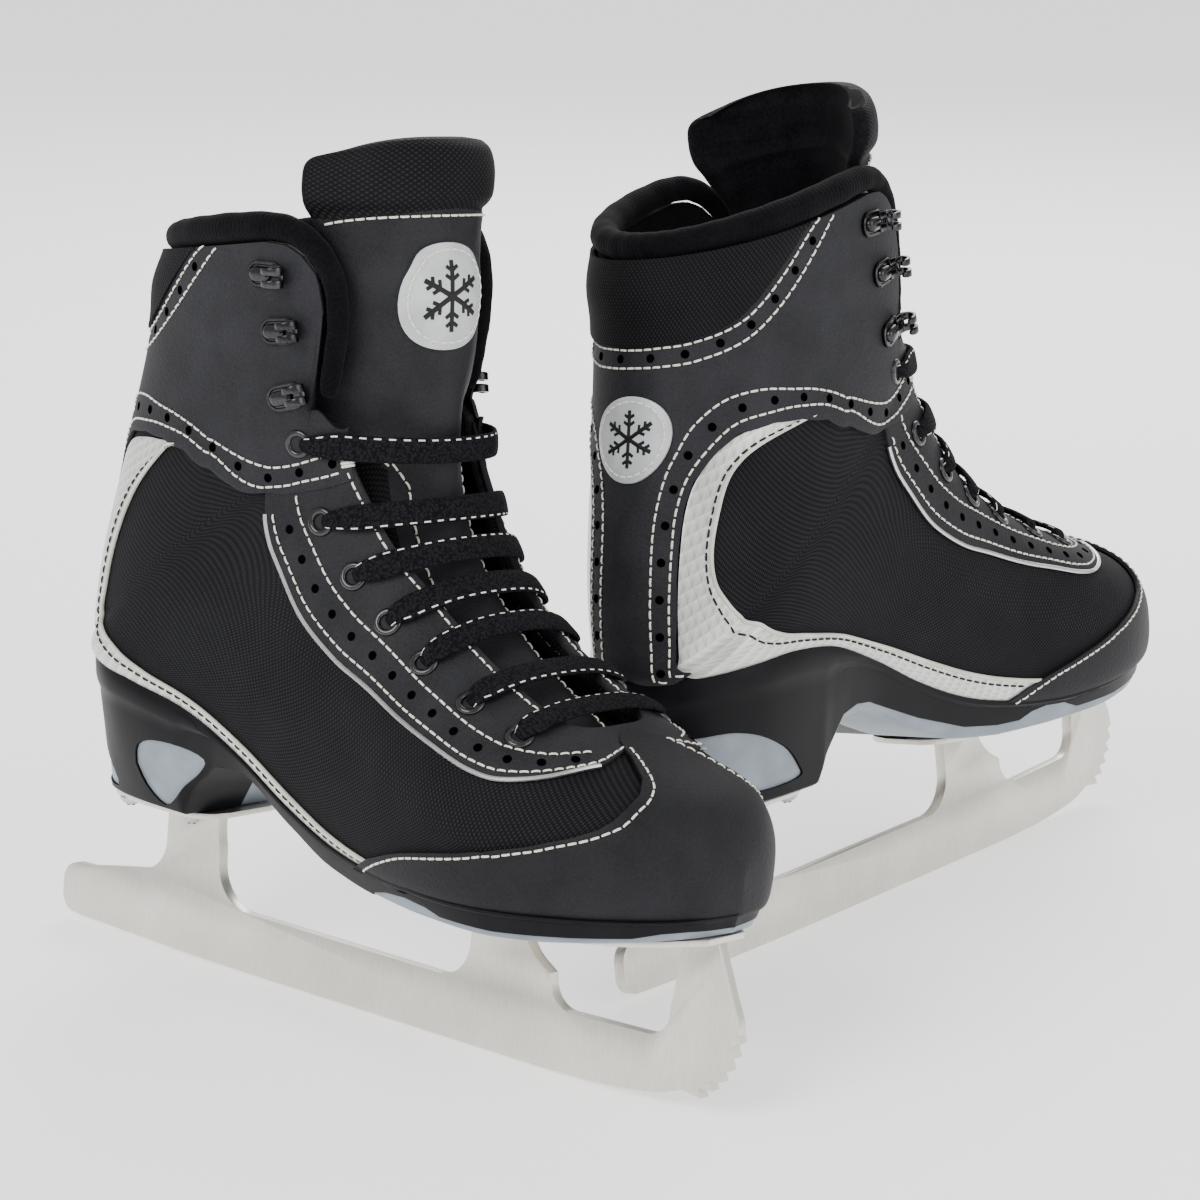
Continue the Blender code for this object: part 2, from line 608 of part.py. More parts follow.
def tube(name, path, radius, look, skate, sides=6, smooth=60):
    """A round solid along a path of points."""
    path = [Vector(p) for p in path]
    rings, across = [], None
    for i, point in enumerate(path):
        ahead = (path[min(i + 1, len(path) - 1)] - point).normalized()
        behind = (point - path[max(i - 1, 0)]).normalized()
        along = (ahead + behind).normalized()
        across = along.orthogonal() if across is None else across - along * across.dot(along)
        across.normalize()
        other = along.cross(across)
        rings.append([
            point + (across * math.cos(turn) + other * math.sin(turn)) * radius
            for turn in (2 * math.pi * k / sides for k in range(sides))
        ])
    return closed_loft(name, rings, look, skate, smooth)


def make_collar(skate, look):
    """The felt roll along the rim and down the front edges of the flaps."""
    flank = [(at, lerp_table(WALL_EDGE, at)) for at in (18.8, 19.8, 20.8, 21.8, 22.7, 23.35, 23.75)]
    rim = [(24.0, a) for a in (98, 88, 74, 60, 46, 32, 18, 8)]
    path = []
    for side, places in ((-1, flank + rim), (1, [(24.0, 0.0)] + (flank + rim)[::-1])):
        for at, around in places:
            inside = boot_at(min(at, 23.7) - 0.5, around - (8 if at < 23.9 else 0), side, -2.0)
            path.append((boot_at(at, around, side, -2.0), boot_normal(at, around, side), inside))
    centres = []
    for i, (point, normal, inside) in enumerate(path):
        along = (path[min(i + 1, len(path) - 1)][0] - path[max(i - 1, 0)][0]).normalized()
        outward = along.cross(normal).normalized()
        if outward.dot(point - inside) < 0:
            outward = -outward
        centres.append(point + outward * (COLLAR_RADIUS + 0.9))
    tube(skate["name"] + "_collar_roll", centres, COLLAR_RADIUS, look, skate, 8)


def tongue_drop(at):
    """How deep the tongue's middle lies below the line of the boot's front."""
    return lerp_table(((4.6, 8.2), (5.5, 7.4), (6.2, 5.2), (7, 3.2), (12, 3), (14, 3.6), (16, 5.5), (18, 8.5), (20, 10),
                       (22, 8.5), (24, 4.5)), at)


def tongue_half(at):
    """Half width of the tongue, measured on the boot's surface above it."""
    return lerp_table(((4.6, 14), (5.5, 20), (6.2, 30), (7, 34), (9, 34), (11, 32.5), (13, 33.5), (17, 35.5), (24, 35.2)), at)


def tongue_point(at, part, lift=0.0):
    """A point on the tongue's outer side, part running from -1 to 1 across it."""
    wide, side = section(at)[5], -1 if part < 0 else 1
    half = min(abs(part) * tongue_half(at), wide * 0.97)
    around = 180 - math.degrees(math.asin((half / wide) ** (1 / 0.86)))
    middle = tongue_drop(at)
    blend = min(abs(part) * 1.6, 1.0)
    depth = middle + max(8.9 - middle, 0.0) * blend * blend * (3 - 2 * blend)
    return boot_at(at, around, side, lift - depth), boot_normal(at, around, side)


TONGUE_PARTS = (-1, -0.8, -0.55, -0.28, 0.0, 0.28, 0.55, 0.8, 1)


def tongue_ring(at):
    """Closed cross-section of the tongue."""
    outer, inner = [], []
    for part in TONGUE_PARTS:
        point, normal = tongue_point(at, part)
        outer.append(point)
        inner.append(point - normal * (TONGUE_THICK * (1 - 0.45 * abs(part) ** 3)))
    return outer + inner[::-1]


def wing_ring(row):
    """Closed cross-section of the tongue's free top: height, front x, half width, sweep, drop of the sides."""
    height, front, half, sweep, drop = row
    outer, inner = [], []
    for part in TONGUE_PARTS:
        turn = math.radians(70 * part)
        y = half * math.sin(turn) / math.sin(math.radians(70))
        x = front - sweep * (1 - math.cos(turn)) / (1 - math.cos(math.radians(70)))
        z = height - drop * abs(part) ** 2.5
        normal = Vector((math.cos(turn), math.sin(turn), 0))
        point = Vector((x, y, z))
        outer.append(point)
        inner.append(point - normal * (9.5 * (1 - 0.35 * abs(part) ** 3)))
    return outer + inner[::-1]


def padded_loft(name, rings, look, skate):
    """A solid through tongue sections, its ends closed straight across between the outer and inner sides."""
    count = len(rings[0])
    points = [p for ring in rings for p in ring]
    faces = grid_faces(len(rings), count, wrap=True)
    for base in (0, (len(rings) - 1) * count):
        faces += [(base + i, base + i + 1, base + count - 2 - i, base + count - 1 - i) for i in range(count // 2 - 1)]
    return add_object(name, mesh_from(points, faces, skate), look, skate, 60)


def make_tongue(skate, look):
    name = skate["name"]
    lower = [tongue_ring(at) for at in (4.6, 5.2, 5.8, 6.5, 7.3, 8.2, 9.2, 10.2, 11.2, 12.4)]
    split = tongue_ring(TONGUE_SPLIT)
    lower.append([p + Vector((0.3, 0, -0.6)) for p in split])
    padded_loft(name + "_tongue", lower, look, skate)
    upper = [split] + [tongue_ring(at) for at in (17, 18.5, 20, 21.5, 22.8)]
    upper += [wing_ring(row) for row in WINGS]
    bend = hinge_frame(skate)
    place_on(padded_loft(name + "_tongue_top", upper, look, skate), bend)
    return bend


def hinge_frame(skate):
    """Empty on the line about which the tongue's top bends forward."""
    bend = bpy.data.objects.new(skate["name"] + "_tongue_bend", None)
    skate["collection"].objects.link(bend)
    bend.parent = skate["frame"]
    bend.location = (TONGUE_HINGE[0] * MM, 0, TONGUE_HINGE[1] * MM)
    return bend


def place_on(obj, bend):
    """Hangs an object on the bending line without moving it."""
    obj.parent = bend
    obj.location = -bend.location


def badge_places(radius, count=6):
    """Offsets of a round patch's grid from its centre."""
    rows = []
    for i in range(count + 1):
        u = -1 + 2 * i / count
        row = []
        for j in range(count + 1):
            v = -1 + 2 * j / count
            row.append((radius * u * math.sqrt(1 - v * v / 2), radius * v * math.sqrt(1 - u * u / 2)))
        rows.append(row)
    return rows


def make_badges(skate, look, bend):
    """Round patches: one on the front of the tongue's top, one on the back of the ankle."""
    grid = []
    for row in badge_places(TONGUE_BADGE[1]):
        line = []
        for across, up in row:
            at = TONGUE_BADGE[0] + up / 6.9
            line.append(tongue_point(at, across / tongue_half(at), 1.5))
        grid.append(line)
    place_on(wall(skate["name"] + "_tongue_badge", grid, 1.0, look, skate), bend)
    grid = []
    for row in badge_places(BACK_BADGE[1]):
        line = []
        for across, up in row:
            at = BACK_BADGE[0] + up / 21.5
            around = math.degrees(math.asin((abs(across) / section(at)[5]) ** (1 / 0.92)))
            side = -1 if across < 0 else 1
            line.append((boot_at(at, around, side, OVERLAY_OUT + 1.4), boot_normal(at, around, side)))
        grid.append(line)
    wall(skate["name"] + "_back_badge", grid, 0.9, look, skate)


def make_lace(skate, look):
    """One lace: straight bars over the throat, each end diving through its eyelet and rising to the next."""
    over, through, under = LACE_RADIUS + 1.1, -2.0, -FACING_THICK - LACE_RADIUS - 0.6
    at, around = EYELETS[0]
    path = [boot_at(at - 0.35, around + 4, -1, under)]
    side = -1
    for (at, around), top in zip(EYELETS, BAR_TOPS):
        path += [boot_at(at, around, side, out) for out in (under, through)]
        path += [boot_at(*bar_place(at, around, top, part), side, over) for part in (0, 0.3, 0.65, 1)]
        side = -side
        path += [boot_at(*bar_place(at, around, top, part), side, over) for part in (0.65, 0.3, 0)]
        path += [boot_at(at, around, side, out) for out in (through, under)]
    path.append(boot_at(at - 1.2, around + 4, side, under))
    tube(skate["name"] + "_lace", path, LACE_RADIUS, look, skate)


def bar_place(at, around, top, part):
    """Place on a straight crossing, part running from 0 at the eyelet to 1 in the middle, where the lace is at top."""
    turn = around + (180 - around) * part
    start, middle = boot_point(at, around, 1), boot_point(top, 180, 1)
    low, high = top - 4.0, at + 3.0
    for _ in range(30):
        guess = (low + high) / 2
        point = boot_point(guess, turn, 1)
        above = (middle.x - start.x) * (point.z - start.z) - (middle.z - start.z) * (point.x - start.x)
        low, high = (low, guess) if above > 0 else (guess, high)
    return (low + high) / 2, turn


def make_hooks(skate, look):
    """Speed hooks on the cuff's front edges: a riveted base whose claw curls back from the throat."""
    outline = [(-7, 0), (3.8, 0), (6.6, 2.0), (6.6, 4.8), (4.6, 6.4), (-0.5, 6.0), (-0.5, 4.8), (4.0, 5.1), (5.2, 4.2)]
    outline += [(5.2, 2.7), (3.2, 1.3), (-1.5, 1.3), (-2.2, 2.6), (-5.6, 2.6), (-7, 1.3)]
    for side, word in ((-1, "outer"), (1, "inner")):
        for number, (at, around) in enumerate(HOOKS, 1):
            origin = boot_at(at, around, side, OVERLAY_OUT + GAP)
            normal = boot_normal(at, around, side)
            ahead = boot_point(at, around + 2, side) - boot_point(at, around - 2, side)
            ahead = (ahead + Vector((0, 0, -ahead.length * 0.35))).normalized()
            ahead = (ahead - normal * ahead.dot(normal)).normalized()
            across = normal.cross(ahead)
            rings = [[origin + ahead * u + normal * v + across * w for u, v in outline] for w in (-3.4, 3.4)]
            closed_loft(f"{skate['name']}_{word}_hook_{number}", rings, look, skate)


# ---------------------------------------------------------------- main


def new_skate(name, place, mirror):
    collection = bpy.data.collections.get("figure_skates")
    cutters = bpy.data.collections.get("cutters")
    frame = bpy.data.objects.new(name + "_frame", None)
    collection.objects.link(frame)
    turn = Matrix.Rotation(math.radians(place["heading"]), 4, "Z")
    lean = Matrix.Rotation(math.radians(place["lean"]), 4, "X")
    frame.matrix_world = Matrix.Translation((place["x"] * MM, place["y"] * MM, 0)) @ turn @ lean
    return dict(name=name, mirror=mirror, frame=frame, collection=collection, cutters=cutters)


def make_skate(name, place, mirror):
    skate = new_skate(name, place, mirror)
    steel = material("polished_steel", STEEL, 0.3, 1.0)
    charcoal = material("charcoal_synthetic", CHARCOAL, 0.7)
    silver = material("silver_synthetic", SILVER, 0.4, 0.3)
    make_blade(skate, steel)
    make_screws(skate, steel)
    make_sole(skate, material("black_sole", BLACK, 0.45), material("grey_core", GREY_CORE, 0.5))
    make_insole(skate, material("insole_board", CHARCOAL, 0.9))
    make_walls(skate, material("woven_nylon", BLACK, 0.85), material("felt_lining", BLACK, 0.95))
    make_cuff(skate, charcoal)
    make_toe_cap(skate, charcoal)
    make_foxings(skate, silver)
    make_facings(skate, charcoal)
    make_collar(skate, material("collar_felt", BLACK, 0.95))
    bend = make_tongue(skate, material("tongue_fabric", CHARCOAL, 0.8))
    make_badges(skate, silver, bend)
    make_lace(skate, material("black_lace", BLACK, 0.9))
    make_hooks(skate, material("dark_chrome", GUNMETAL, 0.25, 1.0))
    return skate


def world_corners(root):
    """Every vertex of the solids under an empty, in scene units."""
    graph = bpy.context.evaluated_depsgraph_get()
    return [
        obj.matrix_world @ vertex.co
        for obj in root.children_recursive
        if obj.type == "MESH" and not obj.hide_render
        for vertex in obj.evaluated_get(graph).data.vertices
    ]


def stand_on_ice(skates):
    """Lowers each skate until it touches the ice and centres the pair over the origin."""
    for skate in skates:
        bpy.context.view_layer.update()
        skate["frame"].location.z -= min(p.z for p in world_corners(skate["frame"]))
    bpy.context.view_layer.update()
    points = [p for skate in skates for p in world_corners(skate["frame"])]
    for axis in (0, 1):
        middle = (min(p[axis] for p in points) + max(p[axis] for p in points)) / 2
        for skate in skates:
            skate["frame"].location[axis] -= middle


for old in list(bpy.data.objects):
    bpy.data.objects.remove(old, do_unlink=True)
for group in ("figure_skates", "cutters"):
    bpy.context.scene.collection.children.link(bpy.data.collections.new(group))
stand_on_ice([make_skate("right", RIGHT_PLACE, 1), make_skate("left", LEFT_PLACE, -1)])
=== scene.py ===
"""Looks for a pair of figure skates: panels, stitching, padding, laces, hooks, blades and studio.

The skates are drawn in each skate's own frame, in millimetres: x runs forward from the blade's tail, y to
the wearer's left and z up, with the blade in the plane y = 0. The left skate is the mirror image of the right.
A side of -1 is a skate's outer side and 1 its inner side.
"""

import math
from functools import lru_cache

import bmesh
import bpy
from mathutils import Matrix, Vector


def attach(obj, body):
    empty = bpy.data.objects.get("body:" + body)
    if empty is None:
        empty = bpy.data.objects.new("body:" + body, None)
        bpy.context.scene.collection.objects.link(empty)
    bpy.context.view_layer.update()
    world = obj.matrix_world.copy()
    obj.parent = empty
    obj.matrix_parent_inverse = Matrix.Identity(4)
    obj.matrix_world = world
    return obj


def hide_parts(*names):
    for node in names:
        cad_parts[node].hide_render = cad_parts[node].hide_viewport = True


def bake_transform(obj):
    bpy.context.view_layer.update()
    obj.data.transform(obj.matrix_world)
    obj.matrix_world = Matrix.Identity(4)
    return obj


MM = 0.001

# Frames of the two skates, as the part places them: tail position in metres, heading and lean in degrees.
PLACES = {
    "right": dict(at=(-0.183749, 0.022624, 0.000211), heading=-41.0, lean=-6.2, mirror=1),
    "left": dict(at=(-0.000049, -0.064176, 0.000278), heading=51.3, lean=-8.2, mirror=-1),
}
CAMERA = dict(at=(-0.00715, -1.28228, 0.4502), tilt=75.28, lens=124.8)

# Heights of the layers above the boot's surface, and the sizes of stitches, piping and punched holes.
PANEL_OUT = 1.5
PANEL_THICK = 1.2
CAP_LIFT = 0.25
STAY_OUT = PANEL_OUT - 0.35
FOXING_OUT = 0.95
PIPING_RADIUS = 0.75
STITCH_OUT = 0.02  # of a row of stitches above its panel
STITCH_LENGTH = 2.35
STITCH_PITCH = 3.35
STITCH_RADIUS = 0.34
HOLE_RADIUS = 1.4

# Boot sections from the toe tip to the collar: sole x, sole z, top x, top z, half width at the sole, greatest
# half width, where that is between the two points, and sideways shift towards the inside of the foot.
SECTIONS = (
    (276.0, 60.5, 276.0, 71.0, 0.0, 0.0, 0.50, 5.0),
    (273.4, 60.4, 273.4, 80.5, 12.5, 14.0, 0.42, 5.0),
    (267.5, 60.0, 268.0, 89.0, 22.0, 24.5, 0.37, 4.7),
    (258.0, 59.4, 259.0, 95.5, 30.5, 33.5, 0.34, 4.2),
    (245.0, 58.6, 247.0, 100.5, 37.5, 40.5, 0.33, 3.2),
    (230.0, 57.8, 234.0, 105.0, 42.5, 45.4, 0.33, 1.8),
    (213.0, 57.2, 219.5, 111.0, 44.5, 47.5, 0.34, 0.6),
    (194.0, 57.3, 204.0, 118.5, 43.0, 46.6, 0.37, 0.0),
    (173.0, 58.8, 190.0, 127.5, 38.5, 43.4, 0.40, 0.0),
    (151.0, 63.0, 178.5, 138.0, 34.0, 40.2, 0.43, 0.4),
    (129.0, 71.5, 169.5, 149.0, 31.0, 38.2, 0.45, 0.6),
    (107.0, 83.0, 164.0, 160.0, 30.0, 37.2, 0.46, 0.6),
    (85.0, 92.5, 161.5, 170.5, 31.0, 36.8, 0.47, 0.4),
    (63.0, 96.4, 161.0, 179.0, 31.5, 36.8, 0.48, 0.0),
    (45.0, 97.3, 161.0, 186.0, 28.5, 37.0, 0.49, 0.0),
    (31.0, 97.8, 161.5, 191.0, 19.0, 37.2, 0.50, 0.0),
    (21.5, 98.2, 162.0, 195.5, 0.0, 37.4, 0.50, 0.0),
    (21.0, 107.0, 163.0, 200.5, 0.0, 37.8, 0.50, 0.0),
    (23.0, 122.0, 164.0, 206.5, 0.0, 38.0, 0.50, 0.0),
    (27.5, 141.0, 164.5, 213.0, 0.0, 38.2, 0.50, 0.0),
    (33.5, 162.0, 164.5, 220.0, 0.0, 38.4, 0.50, 0.0),
    (39.0, 183.0, 164.0, 227.0, 0.0, 38.7, 0.50, 0.0),
    (43.5, 201.5, 162.5, 234.0, 0.0, 39.2, 0.50, 0.0),
    (46.5, 215.0, 160.5, 239.5, 0.0, 39.8, 0.50, 0.0),
    (49.5, 225.5, 158.5, 244.0, 0.0, 40.2, 0.50, 0.0),
)
LAST = len(SECTIONS) - 1
LOW_ROUND, HIGH_ROUND = 0.92, 0.86  # how round a section is below and above its widest place; 1 is an ellipse
# How far the sole's edge rises on the inner side and falls on the outer side under the arch, by section.
ARCH_TILT = ((7, 0), (8, 1.2), (9, 2.6), (10, 3.8), (11, 4.4), (12, 4.4), (13, 3.6), (14, 2.2), (15, 0.6), (15.5, 0))

# Lines on the boot. Each point is (section, angle round the section), 0 at the sole or back, 180 in front.
FLAP_EDGE = (
    (17.75, 134), (17.95, 128), (18.1, 120), (21.0, 119.8), (22.3, 117.5), (23.2, 112.5), (23.7, 107), (24.0, 99),
)
EYELETS = ((5.96, 143), (7.09, 140), (8.37, 134), (9.56, 128), (10.87, 122), (12.59, 118), (17.0, 117.5))
LACE_WIDE, LACE_THICK = 3.9, 0.95  # half width and half thickness
RING = (3.35, 1.05, 0.85)  # an eyelet's ring: radius, radius of its section, and how flat that is
BAR_TOPS = (5.9, 6.97, 8.2, 9.15, 10.05, 11.1, 13.0)
HOOKS = ((18.9, 113), (20.85, 107.5), (22.6, 102))
# The eyestay from the middle in front of the throat to the ankle: outer edge and throat edge.
EYESTAY = (
    ((4.52, 180), (5.3, 180)), ((4.5, 170), (5.33, 173)), ((4.4, 152), (5.5, 166)), ((4.95, 134), (5.85, 162.5)),
    ((5.65, 122), (6.4, 162)), ((6.3, 117.5), (7.0, 161.5)), ((7.4, 114.5), (8.1, 158.5)),
    ((9.0, 107), (9.4, 152)), ((10.1, 100), (10.7, 143.5)), ((11.26, 96.5), (11.7, 139)),
    ((12.7, 99.5), (13.2, 135)), ((14.2, 104), (14.4, 133.5)), ((15.6, 107.5), (15.5, 133.2)),
    ((17.0, 110), (16.3, 131.5)),
)
CAP_EDGE = (
    (0, 8.35), (4, 8.3), (20, 8.15), (34, 7.95), (48, 7.55), (57, 7.2), (68, 6.7), (79, 6.15), (89, 5.65), (93, 5.15),
    (97, 4.7), (106, 3.95), (114, 3.55), (122, 3.35), (134, 3.27), (145, 3.28), (156, 3.55), (165, 4.15), (171, 4.75),
    (176, 5.0), (180, 5.05),
)
CAP_SEAM = (
    (8.1, 7), (7.95, 20), (7.72, 34), (7.35, 48), (6.98, 57), (6.45, 68), (5.9, 79), (5.45, 88), (4.95, 92.5),
    (4.45, 97), (3.72, 106), (3.34, 114), (3.12, 122), (3.04, 134), (3.05, 145), (3.3, 156), (3.9, 165), (4.55, 171),
)
# Lower edge of the ankle cuff with the strip down the back: (angle, section).
CUFF_LOW = (
    (0, 15.5), (19.5, 15.5), (22.0, 15.9), (23.2, 17.0), (23.6, 18.0), (24.2, 18.8), (25.6, 19.3), (28.5, 19.62),
    (36, 19.9), (46, 20.02), (60, 19.8), (71, 19.46), (82, 18.9), (91, 18.02), (98, 16.95), (104, 15.85), (111, 14.5),
    (118, 13.9), (124, 13.55), (130, 13.35), (134, 13.3),
)
CUFF_SEAM = (
    (15.6, 17.5), (16.6, 20.0), (17.9, 20.7), (18.8, 21.3), (19.3, 22.3), (19.75, 26.5), (20.08, 36), (20.2, 46),
    (20.0, 60), (19.7, 71), (19.2, 82), (18.4, 91), (17.4, 98), (16.4, 104), (15.1, 111), (14.5, 118), (14.1, 124),
    (13.85, 130),
)
CUFF_SEAM_TOP = (
    (15.7, 11.5), (16.8, 12.5), (18.0, 12.6), (19.1, 12.8), (19.75, 15.8), (20.15, 21), (20.48, 28), (20.66, 40),
    (20.52, 54), (20.15, 67), (19.75, 77), (19.2, 86), (18.4, 94), (17.3, 104), (16.5, 111), (15.7, 120), (15.0, 131),
)
# Lower edge of the woven panel behind the collar: (angle, section), then the two seams below it.
PANEL_EDGE = (
    (0, 22.0), (12, 22.0), (25, 21.98), (36, 22.02), (44, 22.13), (51, 22.4), (58, 22.85), (65, 23.4), (71, 24.0),
)
PANEL_SEAM = ((21.82, 0), (21.82, 12), (21.8, 25), (21.86, 42), (22.1, 52), (22.61, 61), (23.3, 69), (23.93, 75.5))
PANEL_SEAM_LOW = (
    (21.52, 0), (21.5, 14), (21.47, 27), (21.52, 46), (21.8, 58), (22.3, 67.5), (23.1, 76.5), (23.93, 83.5),
)
TACKS = ((13.95, 132.2), (14.75, 132.4))  # the short dense row that holds the flap's lower corner
# The foxing from beside the ankle round the heel to the toe cap, on the outer side and on the inner side.
FOXING = {
    -1: (
        ((19.15, 79), (19.3, 74)), ((19.45, 70), (19.12, 68)), ((19.7, 60), (18.9, 62)), ((19.85, 48), (18.6, 57)),
        ((19.75, 38), (18.2, 53)), ((19.4, 30), (17.7, 50)), ((18.8, 26), (17.1, 48)), ((17.8, 24.5), (16.5, 46)),
        ((16.9, 24), (15.9, 43.5)), ((16.2, 22.5), (15.3, 40)), ((15.5, 15), (14.75, 37)), ((14.9, 4), (14.1, 33.5)),
        ((14.3, 3), (13.4, 28.5)), ((13.5, 3), (12.8, 25.5)), ((12.7, 3), (12.2, 24.5)), ((12.0, 3), (11.5, 25)),
        ((11.0, 3), (10.7, 27)), ((10.0, 3), (9.9, 28)), ((9.0, 3), (9.0, 26)), ((8.0, 3), (8.0, 24)),
        ((7.2, 3), (7.2, 23)),
    ),
    1: (
        ((19.15, 80), (19.3, 76)), ((19.5, 71), (19.42, 71)), ((19.8, 60), (19.56, 62)), ((19.98, 48), (19.62, 54)),
        ((19.92, 38), (19.58, 47.5)), ((19.62, 29.5), (19.4, 42.5)), ((19.2, 26), (19.0, 39.5)),
        ((18.6, 24.8), (18.4, 37.5)),
        ((17.8, 24.3), (17.75, 39)), ((17.0, 24), (17.0, 44)), ((16.2, 23), (16.1, 48.5)), ((15.5, 15), (15.2, 46)),
        ((14.9, 4), (14.2, 38)), ((14.0, 3), (13.4, 31)), ((13.0, 3), (12.6, 26)), ((12.0, 3), (11.8, 24.5)),
        ((11.0, 3), (11.0, 29)), ((10.0, 3), (10.1, 36)), ((9.0, 3), (9.0, 41)), ((8.0, 3), (8.0, 42.5)),
        ((7.2, 3), (7.2, 42)),
    ),
}

TONGUE_THICK = 7.0
# Free top of the tongue: height, front x, half width, sweep of the sides backwards, drop of the sides.
WINGS = (
    (246.0, 154.8, 33.0, 30.0, 0.0),
    (251.0, 155.0, 35.5, 30.5, 0.0),
    (257.0, 155.0, 36.5, 30.0, 0.8),
    (263.0, 154.4, 36.0, 29.0, 2.5),
    (268.0, 152.8, 33.5, 26.0, 5.0),
    (270.6, 150.0, 30.0, 21.0, 7.0),
)


# ---------------------------------------------------------------- tables and curves


def lerp_table(table, at):
    """Value of a (place, value) table at a place, in straight steps."""
    if at <= table[0][0]:
        return table[0][1]
    for (a, va), (b, vb) in zip(table, table[1:]):
        if at <= b:
            return va + (vb - va) * (at - a) / (b - a)
    return table[-1][1]


def monotone(rows, steps, straight=()):
    """Rows with more between them, each number on a smooth curve that never overshoots."""
    made = []
    for i in range(len(rows) - 1):
        for k in range(steps):
            f = k / steps
            row = []
            for j in range(len(rows[0])):
                a, b = rows[i][j], rows[i + 1][j]
                if i in straight:
                    row.append(a + (b - a) * f)
                    continue
                before = a - rows[i - 1][j] if i else b - a
                after = rows[i + 2][j] - b if i + 2 < len(rows) else b - a
                s0 = 2 * before * (b - a) / (before + b - a) if before * (b - a) > 0 else 0.0
                s1 = 2 * after * (b - a) / (after + b - a) if after * (b - a) > 0 else 0.0
                row.append(hermite(a, s0, b, s1, f))
            made.append(row)
    return made + [list(rows[-1])]


def curve(points, steps):
    """A Catmull-Rom curve through points of any dimension."""
    made = []
    for i in range(len(points) - 1):
        p0, p1, p2 = points[max(i - 1, 0)], points[i], points[i + 1]
        p3 = points[min(i + 2, len(points) - 1)]
        for k in range(steps):
            f = k / steps
            made.append([
                0.5 * (2 * b + (c - a) * f + (2 * a - 5 * b + 4 * c - d) * f * f + (3 * b - a - 3 * c + d) * f**3)
                for a, b, c, d in zip(p0, p1, p2, p3)
            ])
    return made + [list(points[-1])]


def even(start, end, count):
    return [start + (end - start) * i / count for i in range(count + 1)]


def hermite(a, slope_a, b, slope_b, f):
    """A cubic from a to b with a slope at each end."""
    return (
        a * (2 * f**3 - 3 * f**2 + 1) + slope_a * (f**3 - 2 * f**2 + f)
        + b * (3 * f**2 - 2 * f**3) + slope_b * (f**3 - f**2)
    )


def smooth_step(f):
    f = min(max(f, 0.0), 1.0)
    return f * f * (3 - 2 * f)


# ---------------------------------------------------------------- boot surface


@lru_cache(maxsize=None)
def section(at):
    """The section's eight numbers at a real-valued place along the boot."""
    at = min(max(at, 0.0), LAST)
    i = min(int(at), LAST - 1)
    f = at - i
    rows = [SECTIONS[min(max(j, 0), LAST)] for j in (i - 1, i, i + 1, i + 2)]
    found = []
    for p0, p1, p2, p3 in zip(*rows):
        slope1, slope2 = (p2 - p0) / 2, (p3 - p1) / 2
        if p1 == p2 == 0.0:
            slope1 = slope2 = 0.0
        found.append(hermite(p1, slope1, p2, slope2, f))
    found[4] = max(found[4], 0.0)
    return found


@lru_cache(maxsize=None)
def boot_place(at, around, side):
    """x, y and z of a place on the boot's outer surface."""
    sole_x, sole_z, top_x, top_z, low, wide, waist, shift = section(at)
    angle = math.radians(min(max(around, 0.0), 180.0))
    if around < 90:
        power = LOW_ROUND
        half = low + (wide - low) * math.sin(angle) ** power
        along = waist * (1 - max(math.cos(angle), 0.0) ** power)
    else:
        power = HIGH_ROUND
        half = wide * max(math.cos(angle - math.pi / 2), 0.0) ** power
        along = waist + (1 - waist) * math.sin(angle - math.pi / 2) ** power
    x = sole_x + (top_x - sole_x) * along
    z = sole_z + (top_z - sole_z) * along + side * lerp_table(ARCH_TILT, at) * max(1 - along / waist, 0.0)
    return x, shift + side * half, z


def boot_point(at, around, side):
    return Vector(boot_place(at, around, side))


def side_normal(at, around, side):
    a0, a1 = max(at - 0.45, 0.0), min(at + 0.45, LAST)
    r0, r1 = max(around - 4.0, 0.5), min(around + 4.0, 179.5)
    along = boot_point(a1, around, side) - boot_point(a0, around, side)
    across = boot_point(at, r1, side) - boot_point(at, r0, side)
    return (along.cross(across) * side).normalized()


@lru_cache(maxsize=None)
def boot_normal(at, around, side):
    """Outward unit normal of the boot's surface, kept in the middle plane on its centre lines."""
    if at < 0.02:
        return Vector((1.0, 0.0, around / 120 - 0.75)).normalized()
    if around > 179 or (around < 1 and section(at)[4] < 0.5):
        normal = side_normal(at, around, 1) + side_normal(at, around, -1)
        return Vector((normal.x, 0.0, normal.z)).normalized()
    return side_normal(at, around, side)


def boot_at(at, around, side, out=0.0):
    """A point that far outside the boot's surface."""
    return boot_point(at, around, side) + boot_normal(at, around, side) * out


@lru_cache(maxsize=None)
def girth(at):
    """Half the way round the boot at a section."""
    points = [boot_point(at, a, 1) for a in range(0, 181, 15)]
    return sum((b - a).length for a, b in zip(points, points[1:]))


@lru_cache(maxsize=None)
def run_to(at):
    """Length along the boot's flank from the toe to a section, at whole quarter sections."""
    if at <= 0:
        return 0.0
    return run_to(at - 0.25) + (boot_point(at, 75, 1) - boot_point(at - 0.25, 75, 1)).length


def surface_uv(at, around, side):
    """Flat coordinates of a place on the boot, in centimetres."""
    at = min(max(at, 0.0), LAST)
    low = math.floor(at * 4) / 4
    run = run_to(low) + (run_to(min(low + 0.25, LAST)) - run_to(low)) * (at - low) * 4
    half = girth(low) + (girth(min(low + 0.25, LAST)) - girth(low)) * (at - low) * 4
    return run / 10, side * half * around / 1800


def surface_line(points, side, out, steps=10):
    """(point, normal) along a line of (section, angle) points on the boot."""
    return [(boot_at(at, a, side, out), boot_normal(at, a, side)) for at, a in curve(points, steps)]


